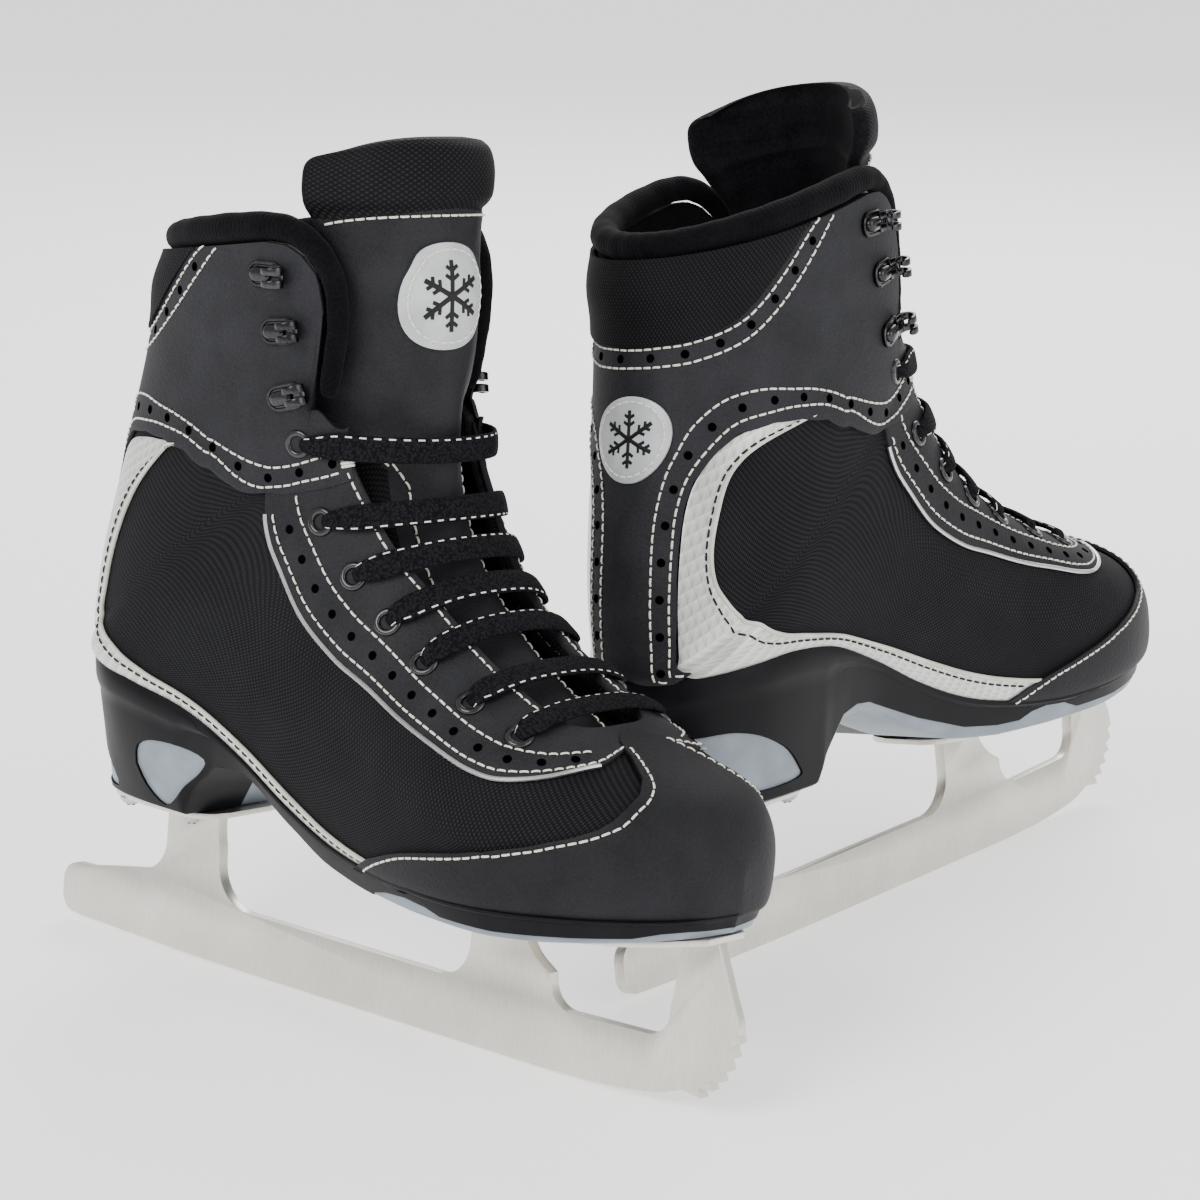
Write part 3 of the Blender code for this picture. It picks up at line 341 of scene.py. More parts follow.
def spaced(line, pitch, start=0.0):
    """Even places along a line of (point, normal): (point, normal, direction)."""
    made, travelled, goal = [], 0.0, start
    for (a, na), (b, nb) in zip(line, line[1:]):
        length = (b - a).length
        while length > 0 and travelled + length >= goal:
            f = (goal - travelled) / length
            made.append((a.lerp(b, f), na.lerp(nb, f).normalized(), (b - a).normalized()))
            goal += pitch
        travelled += length
    return made


# ---------------------------------------------------------------- meshes


class Skate:
    """One skate: its frame, from its own metres to the world, and the names of its bodies."""

    def __init__(self, name):
        place = PLACES[name]
        turn = Matrix.Rotation(math.radians(place["heading"]), 4, "Z")
        lean = Matrix.Rotation(math.radians(place["lean"]), 4, "X")
        self.name = name
        self.mirror = place["mirror"]
        self.matrix = Matrix.Translation(place["at"]) @ turn @ lean
        self.boot = name + "_boot"
        self.flap = name + "_tongue_flap"


class Shape:
    """A mesh being drawn in a skate's millimetres, with optional flat coordinates."""

    def __init__(self):
        self.points, self.faces, self.uvs = [], [], []

    def add(self, points, faces, uvs=None):
        base = len(self.points)
        self.points += [Vector(p) for p in points]
        self.uvs += uvs if uvs else [(p[0] / 10, p[2] / 10) for p in points]
        self.faces += [tuple(base + i for i in face) for face in faces]

    def object(self, skate, name, look, weld=0.02, smooth=40, solidify=0.0, bevel=0.0, subdivide=0):
        """The finished object in the world, with its modifiers applied."""
        mesh = bpy.data.meshes.new(name)
        scaled = [(p[0] * MM, p[1] * MM * skate.mirror, p[2] * MM) for p in self.points]
        mesh.from_pydata(scaled, [], self.faces)
        layer = mesh.uv_layers.new(name="Surface")
        for loop in mesh.loops:
            layer.data[loop.index].uv = self.uvs[loop.vertex_index]
        work = bmesh.new()
        work.from_mesh(mesh)
        if weld:
            bmesh.ops.remove_doubles(work, verts=work.verts, dist=weld * MM)
        bmesh.ops.dissolve_degenerate(work, dist=0.004 * MM, edges=work.edges)
        if solidify:
            if skate.mirror < 0:
                bmesh.ops.reverse_faces(work, faces=work.faces)
        else:
            bmesh.ops.recalc_face_normals(work, faces=work.faces)
        work.to_mesh(mesh)
        work.free()
        obj = bpy.data.objects.new(f"{skate.name}_{name}", mesh)
        bpy.context.scene.collection.objects.link(obj)
        obj.matrix_world = skate.matrix
        mesh.materials.append(look)
        if solidify:
            thick = obj.modifiers.new("Thickness", "SOLIDIFY")
            thick.thickness = solidify * MM
            thick.offset = -1
        if bevel:
            rounded = obj.modifiers.new("Rounded", "BEVEL")
            rounded.width = bevel * MM
            rounded.segments = 2
            rounded.angle_limit = math.radians(50)
        if subdivide:
            finer = obj.modifiers.new("Finer", "SUBSURF")
            finer.levels = finer.render_levels = subdivide
        settle(obj, smooth)
        return obj

    def piece(self, skate, name, look, slot, *nodes, **settings):
        """The finished object, riding on the boot in place of its CAD nodes; its material slot is not used."""
        obj = self.object(skate, name, look, **settings)
        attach(obj, skate.boot)
        if nodes:
            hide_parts(*(f"{skate.name}_{node}" for node in nodes))
        return obj


def settle(obj, smooth=40):
    """Applies the modifiers and shades the result smooth, apart from its sharp edges."""
    bpy.context.view_layer.update()
    graph = bpy.context.evaluated_depsgraph_get()
    mesh = bpy.data.meshes.new_from_object(obj.evaluated_get(graph))
    obj.modifiers.clear()
    obj.data = mesh
    mesh.shade_smooth()
    mesh.set_sharp_from_angle(angle=math.radians(smooth))


def grid_faces(rows, columns, wrap=False, ring=False):
    """Quads over a grid of points, joined across the columns (wrap) and from the last row to the first (ring)."""
    count = rows * columns
    faces = []
    for r in range(rows if ring else rows - 1):
        for c in range(columns if wrap else columns - 1):
            near, far = r * columns, (r + 1) * columns
            after = (c + 1) % columns
            faces.append(tuple(i % count for i in (near + c, near + after, far + after, far + c)))
    return faces


@lru_cache(maxsize=None)
def circle(count, phase=0.0):
    """Cosine and sine of even turns once round, shifted by a share of one turn's step."""
    turns = [2 * math.pi * (k + phase) / count for k in range(count)]
    return [(math.cos(turn), math.sin(turn)) for turn in turns]


def add_panel(shape, places, side, out):
    """One side's grid of (section, angle) places, laid this far outside the boot and facing outwards."""
    points = [boot_at(at, a, side, out) for row in places for at, a in row]
    uvs = [surface_uv(at, a, side) for row in places for at, a in row]
    faces = grid_faces(len(places), len(places[0]))
    a, b, _, d = (points[i] for i in faces[len(faces) // 2])
    middle = len(places) // 2, len(places[0]) // 2
    facing = boot_normal(*places[middle[0]][middle[1]], side)
    if (b - a).cross(d - a).dot(facing) < 0:
        faces = [face[::-1] for face in faces]
    shape.add(points, faces, uvs)


def add_sides(shape, places, out):
    """The same grid of places on both sides of the boot."""
    for side in (-1, 1):
        add_panel(shape, places, side, out)


def tube_rings(path, radius, sides, flat=1.0, normals=None):
    """Rings round a path, of one radius or one for each point. flat squashes them along the normals."""
    rings, across = [], None
    for i, point in enumerate(path):
        along = (path[min(i + 1, len(path) - 1)] - path[max(i - 1, 0)]).normalized()
        if normals:
            across = along.cross(normals[i])
        else:
            across = along.orthogonal() if across is None else across - along * across.dot(along)
        across.normalize()
        other = along.cross(across)
        size = radius[i] if isinstance(radius, list) else radius
        rings.append([point + (across * c + other * s * flat) * size for c, s in circle(sides)])
    return rings


def add_loft(shape, rings):
    """A skin over rings of points, closed with a cap at both ends."""
    count = len(rings[0])
    faces = grid_faces(len(rings), count, wrap=True)
    faces += [tuple(range(count))[::-1], tuple(range((len(rings) - 1) * count, len(rings) * count))]
    uvs, run = [], 0.0
    for i, ring in enumerate(rings):
        if i:
            run += (sum(ring, Vector()) / count - sum(rings[i - 1], Vector()) / count).length
        uvs += [(run / 10, k / count) for k in range(count)]
    shape.add([p for ring in rings for p in ring], faces, uvs)


def walls(count):
    """Faces between a ring of points and the same ring further on, listed after it."""
    return [(i, i + count, (i + 1) % count + count, (i + 1) % count) for i in range(count)]


def add_tube(shape, path, radius, sides=8, flat=1.0, normals=None):
    add_loft(shape, tube_rings(path, radius, sides, flat, normals))


def add_stitch(shape, point, normal, along, length=STITCH_LENGTH, radius=STITCH_RADIUS):
    """One visible stitch: a short thread that dips into its holes at both ends."""
    along = (along - normal * along.dot(normal)).normalized()
    path = [
        point + along * length * f + normal * radius * up
        for f, up in ((-0.54, -1.6), (-0.46, 0.1), (-0.2, 0.75), (0.2, 0.75), (0.46, 0.1), (0.54, -1.6))
    ]
    add_tube(shape, path, radius, 6, 0.8, [normal] * 6)


def sew(shape, line, pitch=STITCH_PITCH, start=1.0):
    for point, normal, along in spaced(line, pitch, start):
        add_stitch(shape, point, normal, along)


def add_seam(shape, points, side, out, pitch=STITCH_PITCH):
    """A row of stitches along (section, angle) points on the boot."""
    sew(shape, surface_line(points, side, out), pitch, 1.5)


def flat_axes(normal):
    """Two directions at right angles in the plane of a normal."""
    first = normal.orthogonal().normalized()
    return first, normal.cross(first)


def add_dot(shape, point, normal, radius, height=0.12, sides=12):
    """A low button in the leather standing for one of the punched holes; a dark material on it paints the shade
    inside.
    """
    first, second = flat_axes(normal)
    add_loft(shape, [
        [point + normal * up + (first * c + second * s) * radius * scale for c, s in circle(sides)]
        for up, scale in ((-0.4, 1.0), (height * 0.6, 1.0), (height, 0.8), (height * 0.4, 0.45))
    ])


def add_ring(shape, centre, normal, major, minor, squash):
    """A flattened ring standing on a surface."""
    first, second = flat_axes(normal)
    rings = []
    for c, s in circle(28):
        out = first * c + second * s
        rings.append([centre + out * (major + minor * u) + normal * minor * squash * v for u, v in circle(10)])
    shape.add([p for ring in rings for p in ring], grid_faces(28, 10, wrap=True, ring=True))


# ---------------------------------------------------------------- materials


WAVE_SCALE = 0.31416  # a wave texture's ridges are then one unit of its coordinates apart


class Look:
    """A procedural material built node by node."""

    def __init__(self, name, colour, rough, **sockets):
        self.made = bpy.data.materials.new(name)
        self.made.use_nodes = True
        self.made.diffuse_color = (*colour, 1)
        self.tree = self.made.node_tree
        self.shader = self.tree.nodes["Principled BSDF"]
        for socket, value in {"Base Color": (*colour, 1), "Roughness": rough, **sockets}.items():
            self.shader.inputs[socket.replace("_", " ")].default_value = value

    def node(self, kind, inputs=(), **settings):
        node = self.tree.nodes.new("ShaderNode" + kind)
        for setting, value in settings.items():
            setattr(node, setting, value)
        for socket, value in dict(inputs).items():
            if isinstance(value, bpy.types.NodeSocket):
                self.tree.links.new(value, node.inputs[socket])
            else:
                node.inputs[socket].default_value = value
        return node

    def solid(self, scale=1.0, stretch=(1, 1, 1)):
        """Coordinates in the skate's own millimetres, divided by a scale."""
        size = tuple(1000 * s / scale for s in stretch)
        place = self.node("TexCoord").outputs["Object"]
        return self.node("Mapping", {"Vector": place, "Scale": size}).outputs["Vector"]

    def flat(self, turn=0.0, scale=1.0):
        """Coordinates along the boot's surface, in millimetres divided by a scale."""
        place = self.node("UVMap", uv_map="Surface").outputs["UV"]
        inputs = {"Vector": place, "Scale": (10 / scale,) * 3, "Rotation": (0, 0, math.radians(turn))}
        return self.node("Mapping", inputs).outputs["Vector"]

    def noise(self, size, detail=3.0, stretch=(1, 1, 1)):
        """Cloudy noise of a size in millimetres."""
        inputs = {"Vector": self.solid(size, stretch), "Scale": 1.0, "Detail": detail}
        return self.node("TexNoise", inputs).outputs["Fac"]

    def cells(self, size, **settings):
        inputs = {"Vector": self.solid(size), "Scale": 1.0}
        return self.node("TexVoronoi", inputs, **settings).outputs["Distance"]

    def wave(self, vector, inputs=(), direction="X", **settings):
        inputs = {"Vector": vector, "Scale": WAVE_SCALE, **dict(inputs)}
        return self.node("TexWave", inputs, bands_direction=direction, **settings).outputs["Fac"]

    def maths(self, operation, a, b=0.0):
        return self.node("Math", {0: a, 1: b}, operation=operation).outputs[0]

    def mixed(self, a, share, b, rest):
        """The sum of two factors, each times its share."""
        return self.maths("ADD", self.maths("MULTIPLY", a, share), self.maths("MULTIPLY", b, rest))

    def colours(self, factor, low, high, start=0.0, end=1.0):
        """A colour running from low to high with a factor."""
        ramp = self.node("ValToRGB", {"Fac": factor})
        for element, colour, position in zip(ramp.color_ramp.elements, (low, high), (start, end)):
            element.position = position
            element.color = (*colour, 1)
        return ramp.outputs["Color"]

    def base(self, socket):
        self.tree.links.new(socket, self.shader.inputs["Base Color"])

    def rough(self, factor, low, high):
        made = self.node("MapRange", {"Value": factor, "To Min": low, "To Max": high})
        self.tree.links.new(made.outputs["Result"], self.shader.inputs["Roughness"])

    def bump(self, height, strength, distance):
        """Relief from a height, in millimetres, on top of any relief the material already has."""
        inputs = {"Height": height, "Strength": strength, "Distance": distance * MM}
        normal = self.shader.inputs["Normal"]
        if normal.is_linked:
            inputs["Normal"] = normal.links[0].from_socket
        self.tree.links.new(self.node("Bump", inputs).outputs["Normal"], normal)


def grained(name, dark, light, rough=0.62):
    """Matte synthetic leather with a fine pebble grain."""
    look = Look(name, light, rough, Specular_IOR_Level=0.2)
    cells = look.cells(1.1, feature="SMOOTH_F1")
    cloud, speck = look.noise(14.0, 4.0), look.noise(0.55, 2.0)
    look.base(look.colours(look.mixed(cloud, 0.5, speck, 0.5), dark, light, 0.36, 0.64))
    look.rough(cloud, rough - 0.06, rough + 0.08)
    look.bump(cells, 0.55, 0.22)
    look.bump(speck, 0.35, 0.1)
    return look.made


def woven(name, dark, light, pitch):
    """Ballistic nylon: two crossing sets of ridges on the bias, darker between the yarns as painted shade."""
    look = Look(name, light, 0.72, Specular_IOR_Level=0.12)
    warp, weft = (look.wave(look.flat(45.0, pitch), {"Distortion": 0.25}, axis) for axis in "XY")
    cloth = look.maths("MULTIPLY", warp, weft)
    # painted shade: the colour darkens where the weave's relief is low, between the yarns, mixed with random tone
    look.base(look.colours(look.mixed(cloth, 0.7, look.noise(22.0), 0.3), dark, light, 0.15, 0.9))
    look.bump(cloth, 0.6, 0.2)
    return look.made


def pearl(name):
    """Silver synthetic embossed with small cubes, their faces painted lighter and darker as painted light and shade.
    """
    look = Look(name, (0.6, 0.6, 0.58), 0.36, Metallic=0.55, Coat_Weight=0.25, Coat_Roughness=0.25)
    lobes = [look.wave(look.flat(turn, 3.4), wave_profile="SAW") for turn in (0, 60, 120)]
    cube_relief_and_shade = look.maths("MAXIMUM", look.maths("MULTIPLY", lobes[0], 1.0), look.maths("MULTIPLY", lobes[1], 0.8))
    cube_relief_and_shade = look.maths("SUBTRACT", cube_relief_and_shade, look.maths("MULTIPLY", lobes[2], 0.45))
    cloud = look.noise(16.0)
    # painted light and shade: the three faces of each of the cubes get their own brightness in the colour, as light
    # falling on the embossed facets would give them, mixed with random tone
    mixed = look.mixed(cube_relief_and_shade, 0.6, cloud, 0.4)
    look.base(look.colours(mixed, (0.36, 0.36, 0.35), (0.72, 0.72, 0.69), 0.1, 0.8))
    look.rough(cloud, 0.28, 0.44)
    look.bump(cube_relief_and_shade, 0.35, 0.25)
    return look.made


def felt(name, dark, light, ribs):
    """Soft napped cloth, ribbed along the piece at a pitch in millimetres."""
    look = Look(name, light, 0.95, Sheen_Weight=0.03, Sheen_Roughness=0.5, Specular_IOR_Level=0.08)
    nap, cloud = look.noise(0.8, 5.0), look.noise(9.0)
    look.base(look.colours(look.mixed(nap, 0.6, cloud, 0.4), dark, light, 0.35, 0.7))
    look.bump(nap, 0.6, 0.35)
    look.bump(look.wave(look.flat(0, ribs), {"Distortion": 0.4, "Detail Scale": 1.5}), 0.3, 0.25)
    return look.made


def moulded(name, colour, rough, coat=0.0, speck=0.12, shine=0.5):
    """Moulded plastic or enamel with faint flow marks."""
    light = tuple(min(c * 1.4 + 0.001, 1.0) for c in colour)
    look = Look(name, colour, rough, Coat_Weight=coat, Coat_Roughness=0.15, Specular_IOR_Level=shine)
    cloud = look.noise(11.0, 4.0)
    look.base(look.colours(cloud, colour, light, 0.35, 0.75))
    look.rough(cloud, rough - 0.05, rough + 0.09)
    look.bump(look.noise(0.6, 2.0), 0.3, speck)
    return look.made


def metal(name, dark, light, rough, stretch=(1, 1, 1)):
    """Metal brushed along the direction that is stretched least."""
    look = Look(name, light, rough, Metallic=1.0)
    lines, cloud = look.noise(0.5, stretch=stretch), look.noise(26.0)
    look.base(look.colours(look.mixed(lines, 0.5, cloud, 0.5), dark, light, 0.3, 0.7))
    look.rough(lines, rough - 0.05, rough + 0.1)
    look.bump(lines, 0.35, 0.03)
    return look.made


def thread(name, colour):
    """Twisted sewing thread, darker in the grooves between its plies as painted shade."""
    look = Look(name, colour, 0.62, Sheen_Weight=0.1)
    twist_relief_and_shade = look.wave(look.solid(0.8), direction="DIAGONAL")
    # painted shade: the colour falls to three quarters of the thread's own where the relief is low, in the grooves
    look.base(look.colours(twist_relief_and_shade, tuple(c * 0.75 for c in colour), colour, 0.0, 0.6))
    look.bump(twist_relief_and_shade, 0.5, 0.12)
    return look.made


def lace_look(name):
    """Flat black braid with a white tracer thread running in dashes near one edge."""
    look = Look(name, (0.008, 0.008, 0.01), 0.9, Specular_IOR_Level=0.08)
    place = look.node("SeparateXYZ", {"Vector": look.node("UVMap", uv_map="Surface").outputs["UV"]}).outputs
    braid = look.cells(0.9)
    dash = look.maths("GREATER_THAN", look.maths("FRACT", look.maths("MULTIPLY", place["X"], 2.3)), 0.52)
    from_track = look.maths("ABSOLUTE", look.maths("SUBTRACT", place["Y"], 0.64))
    white = look.maths("MULTIPLY", dash, look.maths("LESS_THAN", from_track, 0.017))
    cloth = look.colours(braid, (0.014, 0.014, 0.017), (0.003, 0.003, 0.004), 0.1, 0.7)
    mix = look.node("Mix", {0: white, 6: cloth, 7: (0.7, 0.68, 0.62, 1)}, data_type="RGBA")
    look.base(mix.outputs[2])
    look.bump(braid, 0.8, 0.35)
    return look.made


# ---------------------------------------------------------------- blade


BLADE_THICK = 3.9
HEEL_PLATE_TOP, SOLE_PLATE_TOP, PLATE_THICK = 52.2, 47.8, 1.8
# How far the sole plate and the front post rise with the sole, by x.
PLATE_RISE = ((216, 0), (233, 0.9), (247, 2.5), (259.5, 4.1), (268.5, 5.5), (274.5, 6.5), (280, 7.0))
PLATE_NARROW = 0.86
# Half widths of the plates, by x.
HEEL_PLATE = ((33.8, 9), (35.2, 15), (39, 19), (45, 21.3), (57, 22.8), (70, 23.3), (77, 21.6), (81, 17), (82.6, 10))
SOLE_PLATE = (
    (160.3, 8), (162, 14), (166, 19), (176, 24), (195, 27.6), (215, 29), (235, 28), (250, 25.6), (262, 21.4),
    (271, 15.8), (277, 9.5),
)
SCREWS = {"heel_screw": ((44, 15), (44, -15), (73, 16), (73, -16)), "sole_screw": ((190, 18), (190, -18))}
# A screw's dome: depth below the plate and radius.
SCREW_DOME = ((-0.2, 3.6), (0.5, 3.6), (1.1, 3.25), (1.7, 2.6), (2.15, 1.7), (2.35, 0.8))


def arc(centre, radius, start, end, steps):
    turns = [math.radians(start + (end - start) * i / steps) for i in range(steps + 1)]
    return [(centre[0] + radius * math.cos(t), centre[1] + radius * math.sin(t)) for t in turns]


def runner_outline():
    """Side view of the runner: tail, running edge, toe picks, then stanchions and windows back to the tail."""
    top_z = SOLE_PLATE_TOP - PLATE_THICK / 2
    heel_z = HEEL_PLATE_TOP - PLATE_THICK / 2
    points = arc((6.5, 8.3), 6.5, 180, 250, 10)
    points += curve([(6, 2.0), (30, 1.1), (60, 0.35), (88.0, 0.0)], 6)[1:]
    points += curve([(214.0, 0.0), (238, 1.0), (256, 3.2), (266.5, 6.4)], 6)
    for part in even(1, 0, 5):  # the toe picks, on a line that bows out
        bow = 2.4 * math.sin(math.pi * part)
        x = 286.0 - 12.5 * part + bow * 0.8
        z = 25.0 - 19.4 * part - bow * 0.6
        points += [(x, z), (x - 1.2, z + 3.0)]
    points += curve([(285.6, 26.4), (284.6, 31.0), (281.5, 38.0), (275.5, top_z + 5.5)], 5)[1:]
    points += [(262.8, top_z + 4.3), (260.8, 34.0)] + arc((251.5, 28.5), 8.5, 8, -90, 12)
    points += arc((222.0, 27.5), 8.5, -90, -180, 10)
    points += curve([(213.2, 29.0), (206.5, 33.5), (202.0, 40), (201.0, top_z)], 5)
    points += [(181.5, top_z), (181.2, 38)] + arc((168.5, 31.5), 12.5, 0, -90, 14)
    points += arc((86.0, 33.0), 14.0, -92, -180, 14) + curve([(71.8, 38), (71.0, 43.0), (70.8, heel_z)], 4)
    points += [(48.0, heel_z)] + curve([(47.9, 42), (47.8, 38.0)], 3) + arc((35.8, 35.5), 12.0, 5, -80, 12)
    points += curve([(36, 23.3), (24.0, 21.2), (12.0, 18.9)], 5) + arc((6.5, 12.5), 6.3, 100, 180, 8)
    return points


def make_blade(skate, looks):
    """Runner, heel plate and sole plate with softened edges."""
    shape = Shape()
    outline, half = runner_outline(), BLADE_THICK / 2
    n = len(outline)
    faces = [tuple(range(n)), tuple(range(2 * n - 1, n - 1, -1)), *walls(n)]
    shape.add([(x, y, z) for y in (-half, half) for x, z in outline], faces)
    for table, top, rise in ((HEEL_PLATE, HEEL_PLATE_TOP, ((0, 0),)), (SOLE_PLATE, SOLE_PLATE_TOP, PLATE_RISE)):
        rim = [(x, h * PLATE_NARROW) for x, h in monotone(table, 3)]
        ring = rim + [(x, -h) for x, h in reversed(rim)]
        n = len(ring)
        points = [(x, y, z + lerp_table(rise, x)) for z in (top - PLATE_THICK, top) for x, y in ring]
        faces = walls(n)
        for i in range(n // 2 - 1):
            faces += [(i, i + 1, n - 2 - i, n - 1 - i), (n + i, 2 * n - 1 - i, 2 * n - 2 - i, n + i + 1)]
        shape.add(points, faces)
    shape.piece(skate, "steel_blade", looks["steel"], "blade_steel", "blade", smooth=38, bevel=0.35)


def make_screws(skate, looks):
    """Dome heads below the plates, with black crosses through their crowns as painted shade in their cross recesses.
    """
    heads, recess_shade = Shape(), Shape()
    names = []
    for plate, top in (("heel_screw", HEEL_PLATE_TOP), ("sole_screw", SOLE_PLATE_TOP)):
        under = top - PLATE_THICK
        for number, (x, y) in enumerate(SCREWS[plate], 1):
            names.append(f"{plate}_{number}")
            add_loft(heads, [
                [Vector((x + r * c, y + r * s, under - down)) for c, s in circle(24)] for down, r in SCREW_DOME
            ])
            # painted shade: two black boxes poking through the crown stand for the shade in the head's cross slot
            for long_x, long_y in ((1.5, 0.32), (0.32, 1.5)):
                corners = ((-1, -1), (1, -1), (1, 1), (-1, 1))
                box = [(x + u * long_x, y + v * long_y, under - down) for down in (1.4, 2.5) for u, v in corners]
                recess_shade.add(box, [(3, 2, 1, 0), (4, 5, 6, 7), (0, 1, 5, 4), (1, 2, 6, 5), (2, 3, 7, 6), (3, 0, 4, 7)])
    heads.piece(skate, "screw_heads", looks["screw"], "screw_steel", *names, smooth=30)
    recess_shade.piece(skate, "screw_recess_shades", looks["dark"], "screw_steel", weld=0)


# ---------------------------------------------------------------- sole


# Sole unit from the back of the heel to the toe: the boot section above, how far the lip stands out
# lengthwise, then x, z and half width at the bottom.
SOLE = (
    (16.0, -2.9, 31.0, 52.8, 0.0),
    (15.7, -2.2, 32.0, 52.8, 8.5),
    (15.3, -1.4, 34.5, 52.8, 14.5),
    (14.7, 0.0, 40.0, 52.8, 20.0),
    (14.0, 0.0, 49.0, 52.8, 23.5),
    (13.0, 0.0, 63.0, 52.8, 26.0),
    (12.25, 0.0, 78.5, 52.8, 27.0),
    (12.0, 0.0, 83.0, 61.0, 27.5),
    (11.5, 0.0, 92.0, 71.0, 28.5),
    (11.0, 0.0, 105.0, 71.5, 28.5),
    (10.0, 0.0, 128.0, 60.0, 29.5),
    (9.0, 0.0, 150.0, 51.5, 32.5),
    (8.0, 0.0, 173.0, 48.6, 37.0),
    (7.0, 0.0, 195.0, 48.1, 41.5),
    (6.0, 0.0, 216.0, 48.1, 43.5),
    (5.0, 0.0, 233.0, 49.0, 41.5),
    (4.0, 0.0, 247.5, 50.6, 36.5),
    (3.0, 0.3, 259.5, 52.2, 29.5),
    (2.0, 0.8, 268.5, 53.6, 21.0),
    (1.0, 1.4, 274.5, 54.6, 11.5),
    (0.0, 2.0, 277.0, 55.2, 0.0),
)
SOLE_LIP = 2.4
CORE_BACK = 0.9  # how far the grey core lies behind the shell's surface


def sole_ring(row, widen=0.0):
    """One section of the sole unit: walls that lean in towards the ground under a rounded lip."""
    at, lip, low_x, low_z, low_half = row
    top_x, top_z, _, _, feather, _, _, shift = section(round(at, 4))
    feather = max(feather, 0.01)
    thin = min(feather / 12, 1.0)
    top_half = feather + SOLE_LIP * thin
    profile = (
        (0.0, low_half * 0.9), (0.02, low_half * 0.97), (0.08, low_half),
        (0.4, low_half * 0.45 + (top_half - 1.9) * 0.55),
        (0.72, top_half - 1.7 * thin), (0.77, top_half - 1.6 * thin), (0.82, top_half - 0.5 * thin),
        (0.86, top_half), (0.95, top_half), (1.0, top_half - 0.7 * thin),
    )
    ring = []
    tilt = lerp_table(ARCH_TILT, at)
    for side, levels in ((1, profile), (-1, profile[::-1])):
        rise = top_z - 0.1 + side * tilt * (top_half / feather) * (feather > 1) - low_z
        for part, half in levels:
            half = max(half + (widen if low_half > 0 else 0.0), 0.0)
            ring.append(Vector((low_x + (top_x + lip - low_x) * part, shift * 0.6 + side * half, low_z + rise * part)))
    return ring


# Side views of the places where the grey core shows, with the y range of each: the heel's windows, its rear sliver,
# and the layer along the bottom that bulges in front of the arch and rises again at the toe.
WINDOWS = (
    (((59, 66), (61, 72.5), (69, 75.4), (81, 75.6), (90, 73.2), (87.5, 68.5), (81, 63), (77, 58.5), (71, 54.6),
      (63, 59.5)), -60, -1),
    (((18, 70), (18, 57.5), (33, 56), (46, 55.6), (41, 63), (33, 69)), -60, -1),
    (((30, 78), (38, 78.5), (46, 76.7), (54, 73), (61.5, 68), (67, 61.5), (68, 58.5), (60, 57.3), (48, 57.5),
      (37, 60), (30, 68)), 1, 60),
)
LAYERS = (
    (((170, 40), (170, 47), (172, 49.8), (180, 51.8), (190, 52.8), (199, 52.1), (205, 50.5), (225, 50.5), (247, 52.4),
      (262, 54.0), (268, 55.8), (273, 56.6), (300, 57), (300, 40)), -60, 0.05),
    (((76.3, 40), (76.4, 53.5), (80.8, 62.3), (90.5, 73.0), (98, 74.8), (106, 73.8), (129.5, 63.3), (151, 55.4),
      (165, 52.9), (175, 52.4), (180, 54.4), (188, 55.4), (196, 54.2), (203, 51.4), (225, 51.2), (247, 52.8),
      (262, 54.2), (267, 55.8), (272, 56.6), (300, 57), (300, 40)), -0.05, 60),
)


CORE_GAP = 0.12  # between the shell's edge and the core in a window


def grown(outline, grow):
    """The outline moved outwards."""
    made = []
    for i, (x, z) in enumerate(outline):
        (ax, az), (bx, bz) = outline[i - 1], outline[(i + 1) % len(outline)]
        along = Vector((bx - ax, bz - az)).normalized()
        made.append((x + along.y * grow, z - along.x * grow))
    return made


def extruded(skate, name, outline, low, high):
    shape = Shape()
    add_loft(shape, [[Vector((x, y, z)) for x, z in outline] for y in (low, high)])
    return shape.object(skate, name, bpy.data.materials["sole_rubber"])


def cut(obj, other, operation):
    modifier = obj.modifiers.new(operation, "BOOLEAN")
    modifier.operation = operation
    modifier.object = other
    settle(obj, 32)
    bpy.data.objects.remove(other, do_unlink=True)


def joined(pieces):
    """The pieces as one object, which keeps the first one's name."""
    work = bmesh.new()
    for piece in pieces:
        work.from_mesh(piece.data)
    work.to_mesh(pieces[0].data)
    work.free()
    for piece in pieces[1:]:
        bpy.data.objects.remove(piece, do_unlink=True)
    return pieces[0]


def make_sole(skate, looks):
    """The black shell, and the grey core set back a little in its windows."""
    rows = monotone(SOLE, 5, straight=(6, 7))
    outer, core = Shape(), Shape()
    add_loft(outer, [sole_ring(row) for row in rows])
    add_loft(core, [sole_ring(row, widen=-CORE_BACK) for row in rows])
    sole = outer.piece(skate, "outsole_shell", looks["rubber"], "outsole", "outsole", smooth=32)
    pieces = []
    shown = [(curve([*outline, outline[0]], 3)[:-1], low, high) for outline, low, high in WINDOWS]
    for outline, low, high in (*shown, *LAYERS):
        outline = list(outline)
        turning = sum(a[0] * b[1] - b[0] * a[1] for a, b in zip(outline, outline[1:] + outline[:1]))
        outline = outline if turning > 0 else outline[::-1]
        cut(sole, extruded(skate, "cutter", grown(outline, CORE_GAP), low, high), "DIFFERENCE")
        piece = core.object(skate, "sole_grey_core", looks["grey"], smooth=32)
        cut(piece, extruded(skate, "keeper", outline, low, high), "INTERSECT")
        pieces.append(piece)
    inner = joined(pieces)
    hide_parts(skate.name + "_sole_core")
    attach(inner, skate.boot)


